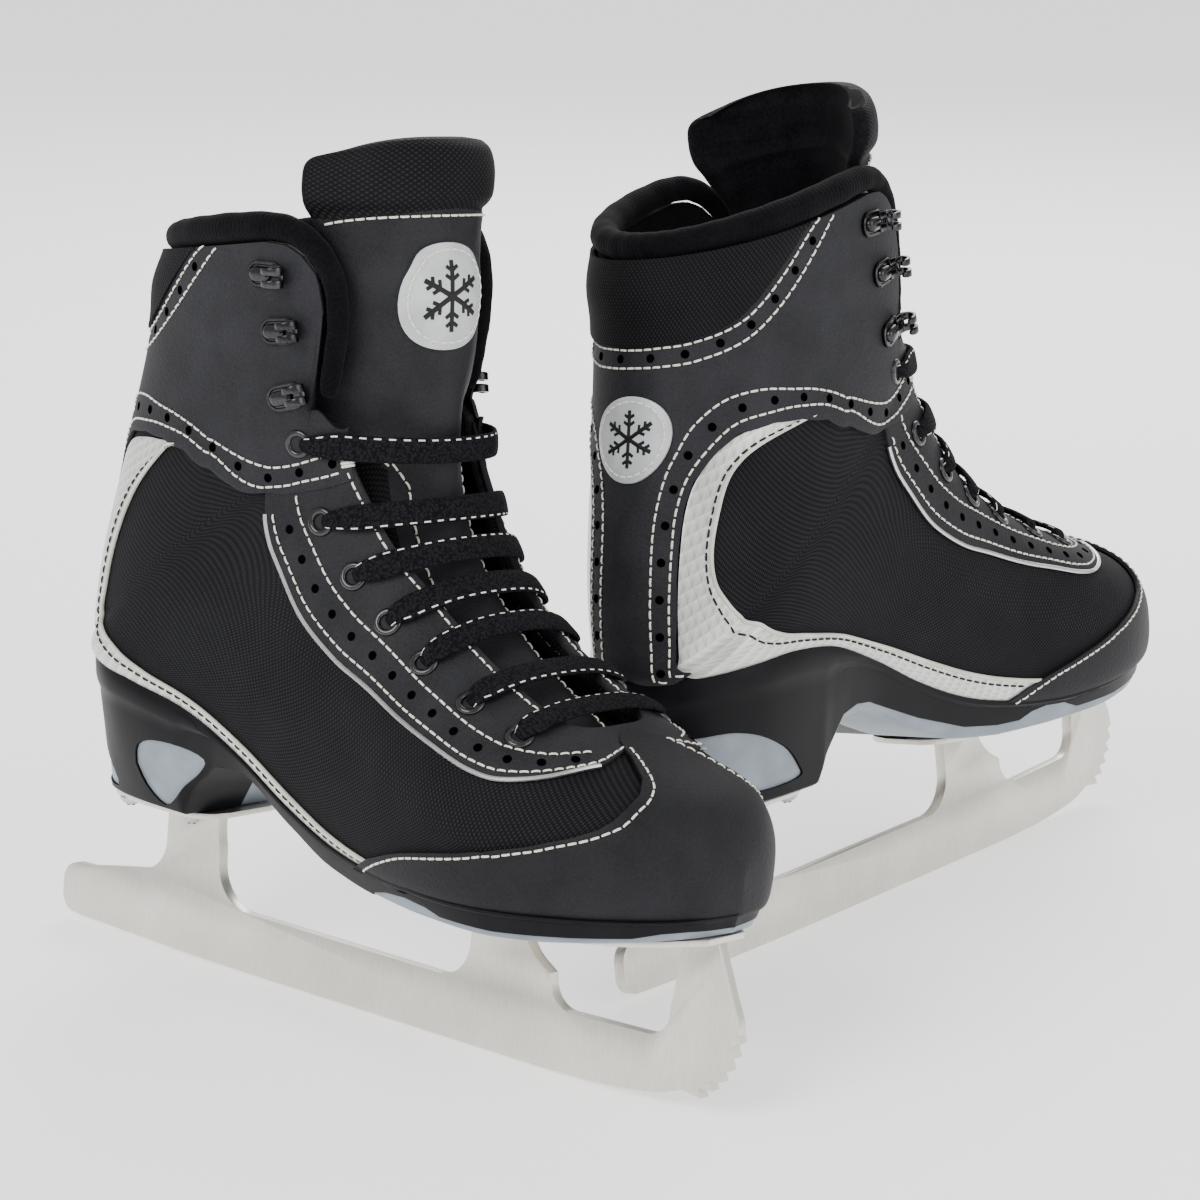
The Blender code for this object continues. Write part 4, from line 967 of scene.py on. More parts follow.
def make_insole(skate, looks):
    """Cushioned footbed with a rounded rim."""
    rings = []
    for at in even(1.9, 14.8, 52):
        x, z, _, _, low, _, _, shift = section(round(at, 4))
        inside = max(low - 6.8 - max(4.0 - at, 0.0), 1.0)
        tilt = lerp_table(ARCH_TILT, at) * inside / low
        cup = 0.9 * (at > 8)
        rim = [(1.0, 2.4), (0.97, 3.5 + cup), (0.9, 4.0 + cup), (0.78, 3.8), (0.4, 3.2), (0.0, 3.0)]
        levels = [(-1, 0.2), (1, 0.2), *rim, *((-part, up) for part, up in rim[-2::-1])]
        rings.append([Vector((x, shift + part * inside, z + part * tilt + up)) for part, up in levels])
    shape = Shape()
    add_loft(shape, rings)
    made = shape.piece(skate, "footbed", looks["footbed"], "lining_cloth", "insole", smooth=50)


# ---------------------------------------------------------------- boot


THROAT = (
    (5.2, 180), (5.3, 172), (5.5, 164), (5.9, 161), (7.0, 160), (8.1, 157), (9.4, 150), (10.7, 142), (11.7, 137.5),
    (13.2, 133.5), (14.4, 132.3), (16.2, 131.5), (17.0, 127.5), (17.7, 122), (18.1, 119),
)


def wall_end(at):
    """The angle where the quarter ends, under the eyestay or at the flap's edge."""
    return lerp_table(THROAT, at) if at < THROAT[-1][0] else lerp_table(FLAP_EDGE, at) - 1.0


def make_quarters(skate, looks):
    """The nylon outer wall and the lining inside it."""
    stations = even(0, 5.0, 34) + even(5.05, 6.1, 16) + even(6.25, 17.6, 74) + even(17.7, 18.3, 6) + even(18.5, 24, 40)
    for name, look, out, slot, node, rows, columns, settings in (
        ("quarters", "nylon", 0.0, "black_nylon", "upper", stations, 44, dict(solidify=2.4, bevel=0.4)),
        ("lining_cloth", "lining", -3.2, "lining_cloth", "lining", stations[::2] + [24.0], 26, dict(solidify=2.2)),
    ):
        shape = Shape()
        add_sides(shape, [[(at, wall_end(at) * k / columns) for k in range(columns + 1)] for at in rows], out)
        shape.piece(skate, name, looks[look], slot, node, weld=0.05, smooth=60, **settings)


def flap_top(around):
    """Where the flap's edge or the rim ends a panel at an angle."""
    if around > 119.9:
        return 18.1 - 1.6 * smooth_step((around - 119.9) / 13)
    at = 24.0
    while at > 17 and lerp_table(FLAP_EDGE, at) < around:
        at -= 0.02
    return at


def column(around, low, high, count):
    """Places up the boot at one angle."""
    return [(at, around) for at in even(low, high, count)]


def make_cuff(skate, looks):
    """Ankle cuff with the strip down the heel and the flap in front."""
    arounds = even(0, 20, 12) + even(20.6, 30, 24) + even(31.5, 70.4, 36) + even(71.4, 118, 44) + even(118.4, 121, 8)
    places = []
    for around in arounds + even(122, 133.6, 12):
        top = lerp_table(PANEL_EDGE, around) if around < 71 else flap_top(around)
        places.append(column(around, lerp_table(CUFF_LOW, around), min(top, LAST), 40))
    shape = Shape()
    add_sides(shape, places, PANEL_OUT)
    settings = dict(weld=0.05, smooth=55, solidify=PANEL_THICK, bevel=0.35)
    shape.piece(skate, "ankle_cuff", looks["cuff"], "charcoal_leather", "cuff", **settings)


def make_collar_panel(skate, looks):
    """Woven panel round the back of the collar, padded out a little."""
    shape = Shape()
    places = [column(a, min(lerp_table(PANEL_EDGE, a) - 0.12, LAST - 0.1), LAST, 14) for a in even(0, 72, 40)]
    for side in (-1, 1):
        points = []
        for row in places:
            low = row[0][0]
            for at, around in row:
                swell = 0.9 + 1.3 * math.sin(math.pi * smooth_step((at - low) / max(LAST - low, 0.05)))
                points.append(boot_at(at, around, side, swell * (1 - (around / 72) ** 3) + 0.5))
        faces = grid_faces(len(places), len(places[0]))
        uvs = [surface_uv(at, a, side) for row in places for at, a in row]
        shape.add(points, faces if side < 0 else [face[::-1] for face in faces], uvs)
    settings = dict(weld=0.05, smooth=60, solidify=1.4, bevel=0.2)
    made = shape.piece(skate, "collar_panel", looks["collar_nylon"], "black_nylon", **settings)


def make_toe_cap(skate, looks):
    """Leather cap over the toes and along the sides."""
    shape = Shape()
    places = [[(lerp_table(CAP_EDGE, a) * k / 40, max(a, 2.6)) for k in range(41)] for a in even(0, 180, 84)]
    add_sides(shape, places, PANEL_OUT + CAP_LIFT)
    settings = dict(weld=0.05, smooth=55, solidify=PANEL_THICK, bevel=0.4)
    shape.piece(skate, "toe_cap_shell", looks["cap"], "toe_leather", "toe_cap", **settings)


def band_places(pairs, columns):
    """A grid of places across a band between two lines."""
    outer, inner = curve([a for a, _ in pairs], 6), curve([b for _, b in pairs], 6)
    return [[(a[0] + (b[0] - a[0]) * k / columns, a[1] + (b[1] - a[1]) * k / columns) for k in range(columns + 1)]
            for a, b in zip(outer, inner)]


def band_line(pairs, part):
    """A line along a band, this share of the way across it."""
    return [(a[0] + (b[0] - a[0]) * part, a[1] + (b[1] - a[1]) * part) for a, b in pairs]


def add_piping(pipe, line, side, out, steps):
    add_tube(pipe, [point for point, _ in surface_line(line, side, out, steps)], PIPING_RADIUS, 8)


def make_eyestay(skate, looks):
    """The U-shaped stay round the throat, with its piped outer edge."""
    stay, pipe = Shape(), Shape()
    for side in (-1, 1):
        add_panel(stay, band_places(EYESTAY, 14), side, STAY_OUT)
        add_piping(pipe, [a for a, _ in EYESTAY[2:-2]], side, 0.95, 10)
    settings = dict(weld=0.05, smooth=55, solidify=2.2, bevel=0.4)
    stay.piece(skate, "eyestay", looks["stay"], "black_leather", "outer_facing", "inner_facing", **settings)
    pipe.piece(skate, "silver_piping", looks["piping"], "silver_leather")


def make_foxing(skate, looks):
    """Silver panels round the heel and along the sole, with a pale edge."""
    foxing, pipe = Shape(), Shape()
    for side in (-1, 1):
        add_panel(foxing, band_places(FOXING[side], 10), side, FOXING_OUT)
        add_piping(pipe, [b for _, b in FOXING[side]], side, 0.75, 8)
    settings = dict(weld=0.05, smooth=55, solidify=0.9, bevel=0.25)
    foxing.piece(skate, "silver_foxing", looks["silver"], "silver_leather", "outer_foxing", "inner_foxing", **settings)
    pipe.piece(skate, "foxing_edge", looks["cream"], "silver_leather")


# ---------------------------------------------------------------- seams


def nearness(place, other):
    """Square of the distance between two places, in degrees round the boot."""
    return (other[0] - place[0]) ** 2 * 60 + (other[1] - place[1]) ** 2


def between(first, second):
    """The line midway between two lines of (section, angle), which may differ in length."""
    a, b = curve(first, 8), curve(second, 8)
    made = []
    for i in range(33):
        p = a[round((len(a) - 1) * i / 32)]
        q = min(b, key=lambda other: nearness(p, other))
        if nearness(p, q) < 500:
            made.append(((p[0] + q[0]) / 2, (p[1] + q[1]) / 2))
    return made


def make_seams(skate, looks):
    """Every visible row of stitching, and the punched holes between the doubled rows, drawn as dark buttons of painted
    shade.
    """
    seams, holes, black = Shape(), Shape(), Shape()
    cuff, stay = PANEL_OUT + STITCH_OUT, STAY_OUT + STITCH_OUT
    for side in (-1, 1):
        for line, out in (
            (CUFF_SEAM, cuff), (CUFF_SEAM_TOP, cuff), (PANEL_SEAM, cuff), (PANEL_SEAM_LOW, cuff),
            (CAP_SEAM, cuff + CAP_LIFT), (band_line(EYESTAY[1:-2], 0.09), stay),
            (band_line(EYESTAY[2:-2], 0.36), stay), (band_line(EYESTAY[3:], 0.93), stay),
        ):
            add_seam(seams, line, side, out)
        for line, out, pitch in (
            (band_line(EYESTAY[2:-2], 0.225), stay, 10.0),
            (between(CUFF_SEAM, CUFF_SEAM_TOP), cuff, 11.5),
            (between(PANEL_SEAM, PANEL_SEAM_LOW), cuff, 11.5),
        ):
            for point, normal, _ in spaced(surface_line(line, side, out), pitch, 6.0):
                add_dot(holes, point, normal, HOLE_RADIUS)
        for point, normal, along in spaced(surface_line(TACKS, side, cuff, 6), 1.0, 0.3):
            add_stitch(seams, point, normal, along.cross(normal), 3.6, 0.45)
        foxing = [(b, a) for a, b in FOXING[side][1:-1]]
        add_seam(black, band_line(foxing, 0.16), side, FOXING_OUT + STITCH_OUT, pitch=3.6)
    for shape, name, look, slot in (
        (seams, "white_stitching", "white", "silver_leather"),
        (holes, "punched_hole_shades", "hole_shade", "black_leather"),
        (black, "foxing_stitching", "dark", "black_leather"),
    ):
        shape.piece(skate, name, looks[look], slot, weld=0, smooth=60)


# ---------------------------------------------------------------- collar and tongue


COLLAR_RADII = ((0, 3.0), (3, 3.2), (6, 3.7), (9, 4.6))  # by place along the path from its end
COLLAR_STEPS = 9
FLANK = (18.6, 19.2, 19.8, 20.8, 21.8, 22.7, 23.35, 23.75)
RIM = (98, 88, 74, 60, 46, 32, 18, 8)


def make_collar(skate, looks):
    """The padded roll along the rim and down the front of the flaps, a little fuller between its tacks."""
    half = [(at, lerp_table(FLAP_EDGE[2:], at)) for at in FLANK] + [(24.0, a) for a in RIM]
    path = []
    for side, places in ((-1, half), (1, [(24.0, 0.0)] + half[::-1])):
        for at, around in places:
            inside = boot_at(min(at, 23.7) - 0.5, around - (8 if at < 23.9 else 0), side, -2.0)
            path.append((boot_at(at, around, side, -2.0), boot_normal(at, around, side), inside))
    last = len(path) - 1
    centres = []
    for i, (point, normal, inside) in enumerate(path):
        along = (path[min(i + 1, last)][0] - path[max(i - 1, 0)][0]).normalized()
        outward = along.cross(normal).normalized()
        if outward.dot(point - inside) < 0:
            outward = -outward
        centres.append(point + outward * (0.3 + lerp_table(COLLAR_RADII, min(i, last - i))))
    line = [Vector(p) for p in curve(centres, COLLAR_STEPS)]
    sizes = []
    for i in range(len(line)):
        end = min(i, len(line) - 1 - i)
        taper = 0.4 + 0.6 * math.sqrt(min(end / 7, 1.0))
        sizes.append(lerp_table(COLLAR_RADII, end / COLLAR_STEPS) * taper * (1 + 0.02 * math.sin(i * 0.7)))
    shape = Shape()
    add_loft(shape, tube_rings(line, sizes, 20))
    made = shape.piece(skate, "collar_pad", looks["felt"], "collar_felt", "collar_roll", smooth=80)


# Depth of the tongue's middle below the line of the boot's front, and half the tongue's width, by section.
TONGUE_DROP = (
    (4.6, 8.2), (5.5, 7.4), (6.2, 5.2), (7, 3.2), (12, 3), (14, 3.4), (16, 4.4), (18, 5.6), (20, 6.2), (22, 5.6),
    (24, 4.0),
)
TONGUE_HALF = ((4.6, 14), (5.5, 20), (6.2, 30), (7, 34), (9, 34), (11, 32.5), (13, 33.5), (17, 35.5), (24, 35.2))
TONGUE_STATIONS = (4.6, 5.2, 5.8, 6.5, 7.3, 8.2, 9.2, 10.2, 11.2, 12.4, 13.8, 15.3, 17, 18.5, 20, 21.5, 22.6)
TONGUE_FULLNESS = ((190, 1.0), (235, 1.05), (255, 1.35), (264, 1.3), (271, 0.75))  # of its thickness, by height
TONGUE_FLAT_HALF = 31.0  # half width of its front seen from ahead, in millimetres
WING_TURN = math.radians(70)  # how far the tongue's free top wraps round the shin
PARTS = even(-1, 1, 40)  # places across the tongue
MIDDLE = len(PARTS) // 2


def tongue_point(at, part):
    """A point on the tongue's outer side, part running from -1 to 1 across it."""
    wide, side = section(at)[5], -1 if part < 0 else 1
    half = min(abs(part) * lerp_table(TONGUE_HALF, at), wide * 0.97)
    around = round(180 - math.degrees(math.asin((half / wide) ** (1 / HIGH_ROUND))), 4)
    middle = lerp_table(TONGUE_DROP, at)
    blend = smooth_step(abs(part) * 1.6)
    full = smooth_step((at - 15) / 3)
    flatter = 0.45 * smooth_step(abs(part) / 0.5) + 0.55 * smooth_step((abs(part) - 0.5) / 0.35)
    blend += (flatter - blend) * full
    depth = middle + max(8.9 - middle, 0.0) * blend
    return boot_at(at, around, side, -depth), boot_normal(at, around, side)


def wing_point(row, part):
    """A point on the outer side of the tongue's free top."""
    height, front, half, sweep, drop = row
    turn = WING_TURN * part
    x = front - sweep * (1 - math.cos(turn)) / (1 - math.cos(WING_TURN))
    point = Vector((x, half * math.sin(turn) / math.sin(WING_TURN), height - drop * abs(part) ** 2.5))
    return point, Vector((math.cos(turn), math.sin(turn), 0))


@lru_cache(maxsize=None)
def tongue_rows():
    """The tongue's outer side from toe to top, as rows of (point, normal), evenly smooth all the way up."""
    controls = [[tongue_point(at, part) for part in PARTS] for at in TONGUE_STATIONS]
    controls += [[wing_point(row, part) for part in PARTS] for row in WINGS]
    flat = [[v for point, normal in row for v in (*point, *normal)] for row in controls]
    return [
        [(Vector(row[i:i + 3]), Vector(row[i + 3:i + 6]).normalized()) for i in range(0, len(row), 6)]
        for row in curve(flat, 8)
    ]


def tongue_at(row, part, lift=0.0):
    """A point and normal on the tongue at a row of tongue_rows() and a part across, between its points."""
    rows = tongue_rows()
    row = min(max(row, 0.0), len(rows) - 1.001)
    place = (part + 1) / 2 * (len(PARTS) - 1)
    i, j = int(row), min(int(place), len(PARTS) - 2)
    f, g = row - i, place - j
    near = [rows[i][j], rows[i][j + 1], rows[i + 1][j], rows[i + 1][j + 1]]
    point = near[0][0].lerp(near[1][0], g).lerp(near[2][0].lerp(near[3][0], g), f)
    normal = near[0][1].lerp(near[1][1], g).lerp(near[2][1].lerp(near[3][1], g), f).normalized()
    return point + normal * lift, normal


def row_at_height(height):
    """The row of the tongue whose middle is at a height."""
    heights = [row[MIDDLE][0].z for row in tongue_rows()]
    for i, (low, high) in enumerate(zip(heights, heights[1:])):
        if low <= height <= high:
            return i + (height - low) / max(high - low, 1e-6)
    return len(heights) - 1.0


def tongue_thickness(part, height):
    return TONGUE_THICK * (1 - 0.45 * abs(part) ** 3) * lerp_table(TONGUE_FULLNESS, height)


SEAM_ARCH = (245.0, 5.0)  # height of the seam across the tongue's front at its sides, and its rise in the middle
CENTRE_GROOVE = 0.47  # place across the tongue of the groove beside the centre panel


def across_seam(part):
    return SEAM_ARCH[0] + SEAM_ARCH[1] * (1 - part * part)


def tongue_relief(part, height):
    """How far the padding above the seam swells, less the grooves where the panels are sewn."""
    seam = across_seam(part)
    swell = 0.0
    if height > seam:
        swell = 1.5 * smooth_step((height - seam) / 5.0) * math.sqrt(max(1 - abs(part) ** 3, 0.0))
    groove = 0.5 * math.exp(-((abs(part) - CENTRE_GROOVE) / 0.025) ** 2) * (height < 189)
    return swell - (groove + 0.8 * math.exp(-((height - seam) / 1.2) ** 2))


def make_tongue(skate, looks):
    """Padded tongue: leather front with a centre panel, woven padded top and soft lining."""
    rows = tongue_rows()
    count, columns = len(rows), len(PARTS)
    heights = [row[MIDDLE][0].z for row in rows]
    front, back, runs = [], [], [0.0]
    for height, row in zip(heights, rows):
        for part, (point, normal) in zip(PARTS, row):
            front.append(point + normal * tongue_relief(part, height))
            back.append(front[-1] - normal * tongue_thickness(part, height))
    for low, high in zip(rows, rows[1:]):
        runs.append(runs[-1] + (high[MIDDLE][0] - low[MIDDLE][0]).length / 10)
    uvs = [(run, part * 3.4) for run in runs for part in PARTS]
    faces = grid_faces(count, columns)
    behind = len(front)
    faces += [tuple(behind + i for i in reversed(face)) for face in faces]

    # The rim: one more row of points round the border, standing out between front and back.
    border = [(0, c) for c in range(columns)] + [(r, columns - 1) for r in range(1, count)]
    border += [(count - 1, c) for c in range(columns - 2, -1, -1)] + [(r, 0) for r in range(count - 2, 0, -1)]
    edge = [r * columns + c for r, c in border]
    rim = []
    for k, (r, c) in enumerate(border):
        after = (k + 1) % len(border)
        here, there = edge[k], edge[after]
        middle = (front[here] + back[here]) / 2
        inside = front[min(max(r, 3), count - 4) * columns + min(max(c, 3), columns - 4)]
        rim.append(middle + (middle - inside).normalized() * 1.6)
        a, b = 2 * behind + k, 2 * behind + after
        faces += [(here, a, b, there), (a, behind + here, behind + there, b)]
    body = Shape()
    body.add(front + back + rim, faces, uvs + uvs + [uvs[i] for i in edge])
    made = body.object(skate, "padded_tongue", looks["tongue"], weld=0, smooth=80, subdivide=1)
    made.data.materials.append(looks["tongue_nylon"])
    made.data.materials.append(looks["tongue_lining"])
    paint_tongue(made.data, skate)
    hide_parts(skate.name + "_tongue", skate.name + "_tongue_top")
    bend(made)

    stitches = Shape()
    for side in (-1, 1):
        lengthwise = even(8, row_at_height(191.0), 60)
        sew(stitches, [tongue_at(r, side * tongue_side(heights[round(r)]), 0.1) for r in lengthwise])
    sew(stitches, [tongue_at(row_at_height(across_seam(p) - 1.9), p, 0.1) for p in even(-0.93, 0.93, 60)])
    sewn = stitches.object(skate, "tongue_stitching", looks["white"], weld=0, smooth=60)
    bend(sewn)


def tongue_side(height):
    """Where the tongue's centre panel ends at a height: it widens to the whole tongue above the laces."""
    return 0.44 + max(height - 171, 0.0) * 0.023


def paint_tongue(mesh, skate):
    """Gives the tongue's faces their cloth: leather in front, nylon above the seam, soft lining behind."""
    for polygon in mesh.polygons:
        centre, normal = polygon.center / MM, polygon.normal
        y = centre.y * skate.mirror
        part = min(abs(y) / TONGUE_FLAT_HALF, 1.0)
        if normal.x < -0.15 and centre.z > 150 or normal.x < 0.1 and centre.z <= 150 and normal.z < 0:
            polygon.material_index = 2
        elif centre.z > across_seam(part) - 0.6 * part or centre.z < 193 and part > tongue_side(centre.z) + 0.06:
            polygon.material_index = 1


def bend(obj):
    """Bakes a piece's place in the world into its mesh."""
    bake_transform(obj)


# ---------------------------------------------------------------- badges


TONGUE_BADGE = (224.5, -4.5)  # height of its centre, and how far that lies off the tongue's middle
BACK_BADGE = 20.45  # section of its centre
BACK_SECTION = 21.5  # millimetres up the boot's back for one section there
# A badge's section from its middle outwards: share of the radius and height.
BADGE_RINGS = ((0.0, 0.25), (0.3, 0.25), (0.6, 0.25), (0.85, 0.25), (0.95, 0.2), (1.0, -0.1), (1.0, -1.2))


def patch_place(kind, across, up):
    """Point and normal on the tongue's front or the boot's back, offset in millimetres from the badge's centre."""
    if kind == "tongue":
        height, off = TONGUE_BADGE
        return tongue_at(row_at_height(height + up * 0.98), (across + off) / TONGUE_FLAT_HALF, 0.9)
    at = BACK_BADGE + up / BACK_SECTION
    around = math.degrees(math.asin(min(abs(across) / section(at)[5], 1.0) ** (1 / LOW_ROUND)))
    side = -1 if across < 0 else 1
    return boot_at(at, around, side, PANEL_OUT + 0.8), boot_normal(at, around, side)


def make_badge(skate, looks, kind, radius):
    """Round silver patch with a stitched border and a plain snowflake."""
    patch, flake, sewn = Shape(), Shape(), Shape()

    def place(x, y, lift):
        point, normal = patch_place(kind, x, y)
        return point + normal * lift, normal

    def stroke(x0, y0, x1, y1, thick):
        path = [place(x0 + (x1 - x0) * f, y0 + (y1 - y0) * f, 0.5) for f in even(0, 1, 6)]
        add_tube(flake, [point for point, _ in path], thick, 8, 0.35, [normal for _, normal in path])

    rings = [[place(radius * part * c, radius * part * s, lift + 0.25)[0] for c, s in circle(48)]
             for part, lift in BADGE_RINGS]
    points = [p for ring in rings for p in ring]
    faces = grid_faces(len(rings), 48, wrap=True) + [tuple(range(len(points) - 48, len(points)))]
    patch.add(points, faces, [(p.y / 10, p.z / 10) for p in points])
    for k in range(6):
        turn = math.radians(60 * k + 30)
        c, s = math.cos(turn), math.sin(turn)
        stroke(0, 0, radius * 0.66 * c, radius * 0.66 * s, radius * 0.05)
        for start, length in ((0.3, 0.17), (0.47, 0.15)):
            x, y = radius * start * c, radius * start * s
            for branch in (turn - math.radians(55), turn + math.radians(55)):
                end = x + radius * length * math.cos(branch), y + radius * length * math.sin(branch)
                stroke(x, y, *end, radius * 0.038)
    border = [place(radius * 0.86 * c, radius * 0.86 * s, 0.5) for c, s in circle(96)]
    for point, normal, along in spaced(border, 2.9):
        add_stitch(sewn, point, normal, along, 2.0)
    made = patch.object(skate, kind + "_patch", looks["patch"], smooth=40)
    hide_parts(f"{skate.name}_{kind}_badge")
    for obj in (
        made,
        flake.object(skate, kind + "_snowflake", looks["dark"], weld=0, smooth=60),
        sewn.object(skate, kind + "_patch_stitching", looks["white"], weld=0, smooth=60),
    ):
        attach(obj, skate.flap if kind == "tongue" else skate.boot)


# ---------------------------------------------------------------- laces and hooks


@lru_cache(maxsize=None)
def bar_place(at, around, top, part):
    """Place on a crossing that looks straight from the side, part running from 0 at the eyelet to 1 in the middle."""
    turn = around + (180 - around) * part
    start, middle = boot_point(at, around, 1), boot_point(top, 180, 1)
    low, high = top - 4.0, at + 3.0
    for _ in range(24):
        guess = (low + high) / 2
        point = boot_point(guess, turn, 1)
        above = (middle.x - start.x) * (point.z - start.z) - (middle.z - start.z) * (point.x - start.x)
        low, high = (low, guess) if above > 0 else (guess, high)
    return (low + high) / 2, turn


def rounded(value, power):
    """A cosine or sine drawn towards a square's side."""
    return math.copysign(abs(value) ** power, value)


def lace_ring(point, along, normal, wide, thick):
    """Flat oval section, starting in the middle of the underside."""
    across = along.cross(normal).normalized()
    other = across.cross(along).normalized()
    return [point + across * wide * rounded(c, 0.75) + other * thick * rounded(s, 0.75) for c, s in circle(20, -5)]


# Along a crossing from the eyelet (0) to the middle (1): height above the boot, and share of the full width.
LACE_OUT = ((-0.06, -5.6), (0, -1.2), (0.07, 2.5), (0.2, 2.9), (0.4, 2.7), (1, 2.3))
LACE_NARROW = ((-0.06, 0.4), (0, 0.45), (0.07, 0.72), (0.2, 1.0))
CROSSING = (-0.06, 0, 0.07, 0.2, 0.4, 0.7, 1, 0.7, 0.4, 0.2, 0.07, 0, -0.06)


def make_lace(skate, looks):
    """The lace in flat straight bars between the eyelets, drawn narrow where it goes through them, and the rings."""
    shape, rings = Shape(), Shape()
    side = -1
    controls = []
    for (at, around), top in zip(EYELETS, BAR_TOPS):
        for k, part in enumerate(CROSSING):
            here = side if k < 7 else -side
            place = bar_place(at, around, top, max(part, 0))
            point = boot_at(*place, here, lerp_table(LACE_OUT, part))
            normal = boot_normal(round(place[0], 4), round(place[1], 4), here)
            controls.append((*point, *normal, lerp_table(LACE_NARROW, part)))
        side = -side
    dense = curve(controls, 6)
    sections = []
    for i, row in enumerate(dense):
        ahead = Vector(dense[min(i + 1, len(dense) - 1)][:3]) - Vector(dense[max(i - 1, 0)][:3])
        thick = LACE_THICK / max(row[6], 0.5) ** 0.6
        normal = Vector(row[3:6]).normalized()
        sections.append(lace_ring(Vector(row[:3]), ahead.normalized(), normal, LACE_WIDE * row[6], thick))
    add_loft(shape, sections)
    shape.piece(skate, "flat_lace", looks["lace"], "lace_cord", "lace", smooth=60)
    for hand in (-1, 1):
        for at, around in EYELETS:
            normal = boot_normal(at, around, hand)
            add_ring(rings, boot_at(at, around, hand, PANEL_OUT - 0.2), normal, *RING)
            # painted shade: a black enamel disc closes each eyelet's opening and stands for the shade inside it
            add_dot(rings, boot_at(at, around, hand, PANEL_OUT - 0.9), normal, 2.5, 0.1, 16)
    rings.piece(skate, "eyelet_rings", looks["enamel"], "hook_metal", weld=0, smooth=50)


# Middle line of a hook's prong, seen from the side: it rises at the throat side and curls back over the base.
PRONG = ((1.2, 0.9), (3.4, 1.0), (5.4, 1.9), (6.4, 3.7), (5.9, 5.6), (4.2, 6.6), (2.2, 6.4), (0.9, 5.6))
PRONG_HALF = ((0, 1.5), (0.5, 1.2), (0.85, 1.05), (1.0, 0.6))
# Stadium sections: height, and how far the base is cut in or the share of the rivet's size.
HOOK_BASE = ((-0.5, 0), (0.7, 0), (1.05, 0.35), (1.05, 1.0), (0.75, 1.3))
HOOK_RIVET = ((0.5, 1.0), (1.5, 1.0), (2.2, 0.88), (2.6, 0.62), (2.75, 0.3))


def prong_sides():
    """The prong's inner and outer line, 0.6 mm each side of its middle line, point by point."""
    centre = curve(PRONG, 5)
    sides = []
    for i, point in enumerate(centre):
        ahead = Vector(centre[min(i + 1, len(centre) - 1)]) - Vector(centre[max(i - 1, 0)])
        across = Vector((-ahead.y, ahead.x)).normalized() * 0.6
        sides.append((Vector(point) + across, Vector(point) - across))
    return sides


def make_hooks(skate, looks):
    """Speed hooks: a rounded base with a long dome rivet, and a claw of two prongs joined by a bar at their bend."""
    sides = prong_sides()
    last = len(sides) - 1
    claws, rivets = Shape(), Shape()
    names = []
    for side, word in ((-1, "outer"), (1, "inner")):
        for number, (at, around) in enumerate(HOOKS, 1):
            names.append(f"{word}_hook_{number}")
            origin = boot_at(at, around, side, PANEL_OUT + 0.05)
            normal = boot_normal(at, around, side)
            ahead = boot_point(at, around + 2, side) - boot_point(at, around - 2, side)
            ahead = (ahead + Vector((0, 0, -ahead.length * 0.2))).normalized()
            ahead = (ahead - normal * ahead.dot(normal)).normalized()
            across = normal.cross(ahead)

            def place(x, y, up):
                return origin + ahead * x + across * y + normal * up

            def stadium(centre, long, wide, up):
                return [place(centre + math.copysign(long - wide, c) + wide * c, wide * s, up)
                        for c, s in circle(24, 0.5)]

            add_loft(claws, [stadium(-2.0, 6.6 - cut_in, 4.1 - cut_in, up) for up, cut_in in HOOK_BASE])
            add_loft(rivets, [stadium(-3.2, 3.9 * size, 2.3 * size, up) for up, size in HOOK_RIVET])
            for middle in (-1.9, 1.9):
                points, faces = [], []
                for i, pair in enumerate(sides):
                    wide = lerp_table(PRONG_HALF, i / last)
                    points += [place(spot.x, middle + w, spot.y) for w in (-wide, wide) for spot in pair]
                for a in range(0, 4 * last, 4):
                    b = a + 4
                    faces += [(a, a + 1, b + 1, b), (a + 2, b + 2, b + 3, a + 3), (a, b, b + 2, a + 2),
                              (a + 1, a + 3, b + 3, b + 1)]
                end = 4 * last
                claws.add(points, faces + [(0, 2, 3, 1), (end, end + 1, end + 3, end + 2)])
            add_tube(claws, [place(5.0, y, 1.7) for y in (-2.6, -1, 1, 2.6)], 0.75, 8)
    claws.piece(skate, "speed_hooks", looks["gunmetal"], "hook_metal", *names, weld=0.001, smooth=35, bevel=0.22)
    rivets.piece(skate, "hook_rivets", looks["gunmetal"], "hook_metal", weld=0, smooth=45)


# ---------------------------------------------------------------- studio


# Area lights: place, point they face, size in metres and power in watts.
LIGHTS = {
    "key": ((-0.9, -1.2, 1.3), (0, 0, 0.12), 1.0, 26),
    "fill": ((1.3, -0.9, 0.8), (0, 0, 0.12), 1.2, 12),
    "rim": ((0.3, 1.3, 1.1), (0, 0, 0.16), 1.0, 18),
}
WORLD_STRENGTH = 0.85
FLOOR_HALF, FLOOR_Z = 6, -0.0004
FLOOR_GLOW = dict(Specular_IOR_Level=0.1, Emission_Color=(1, 1, 1, 1), Emission_Strength=0.75)


def in_scene(name, data):
    obj = bpy.data.objects.new(name, data)
    bpy.context.scene.collection.objects.link(obj)
    return obj


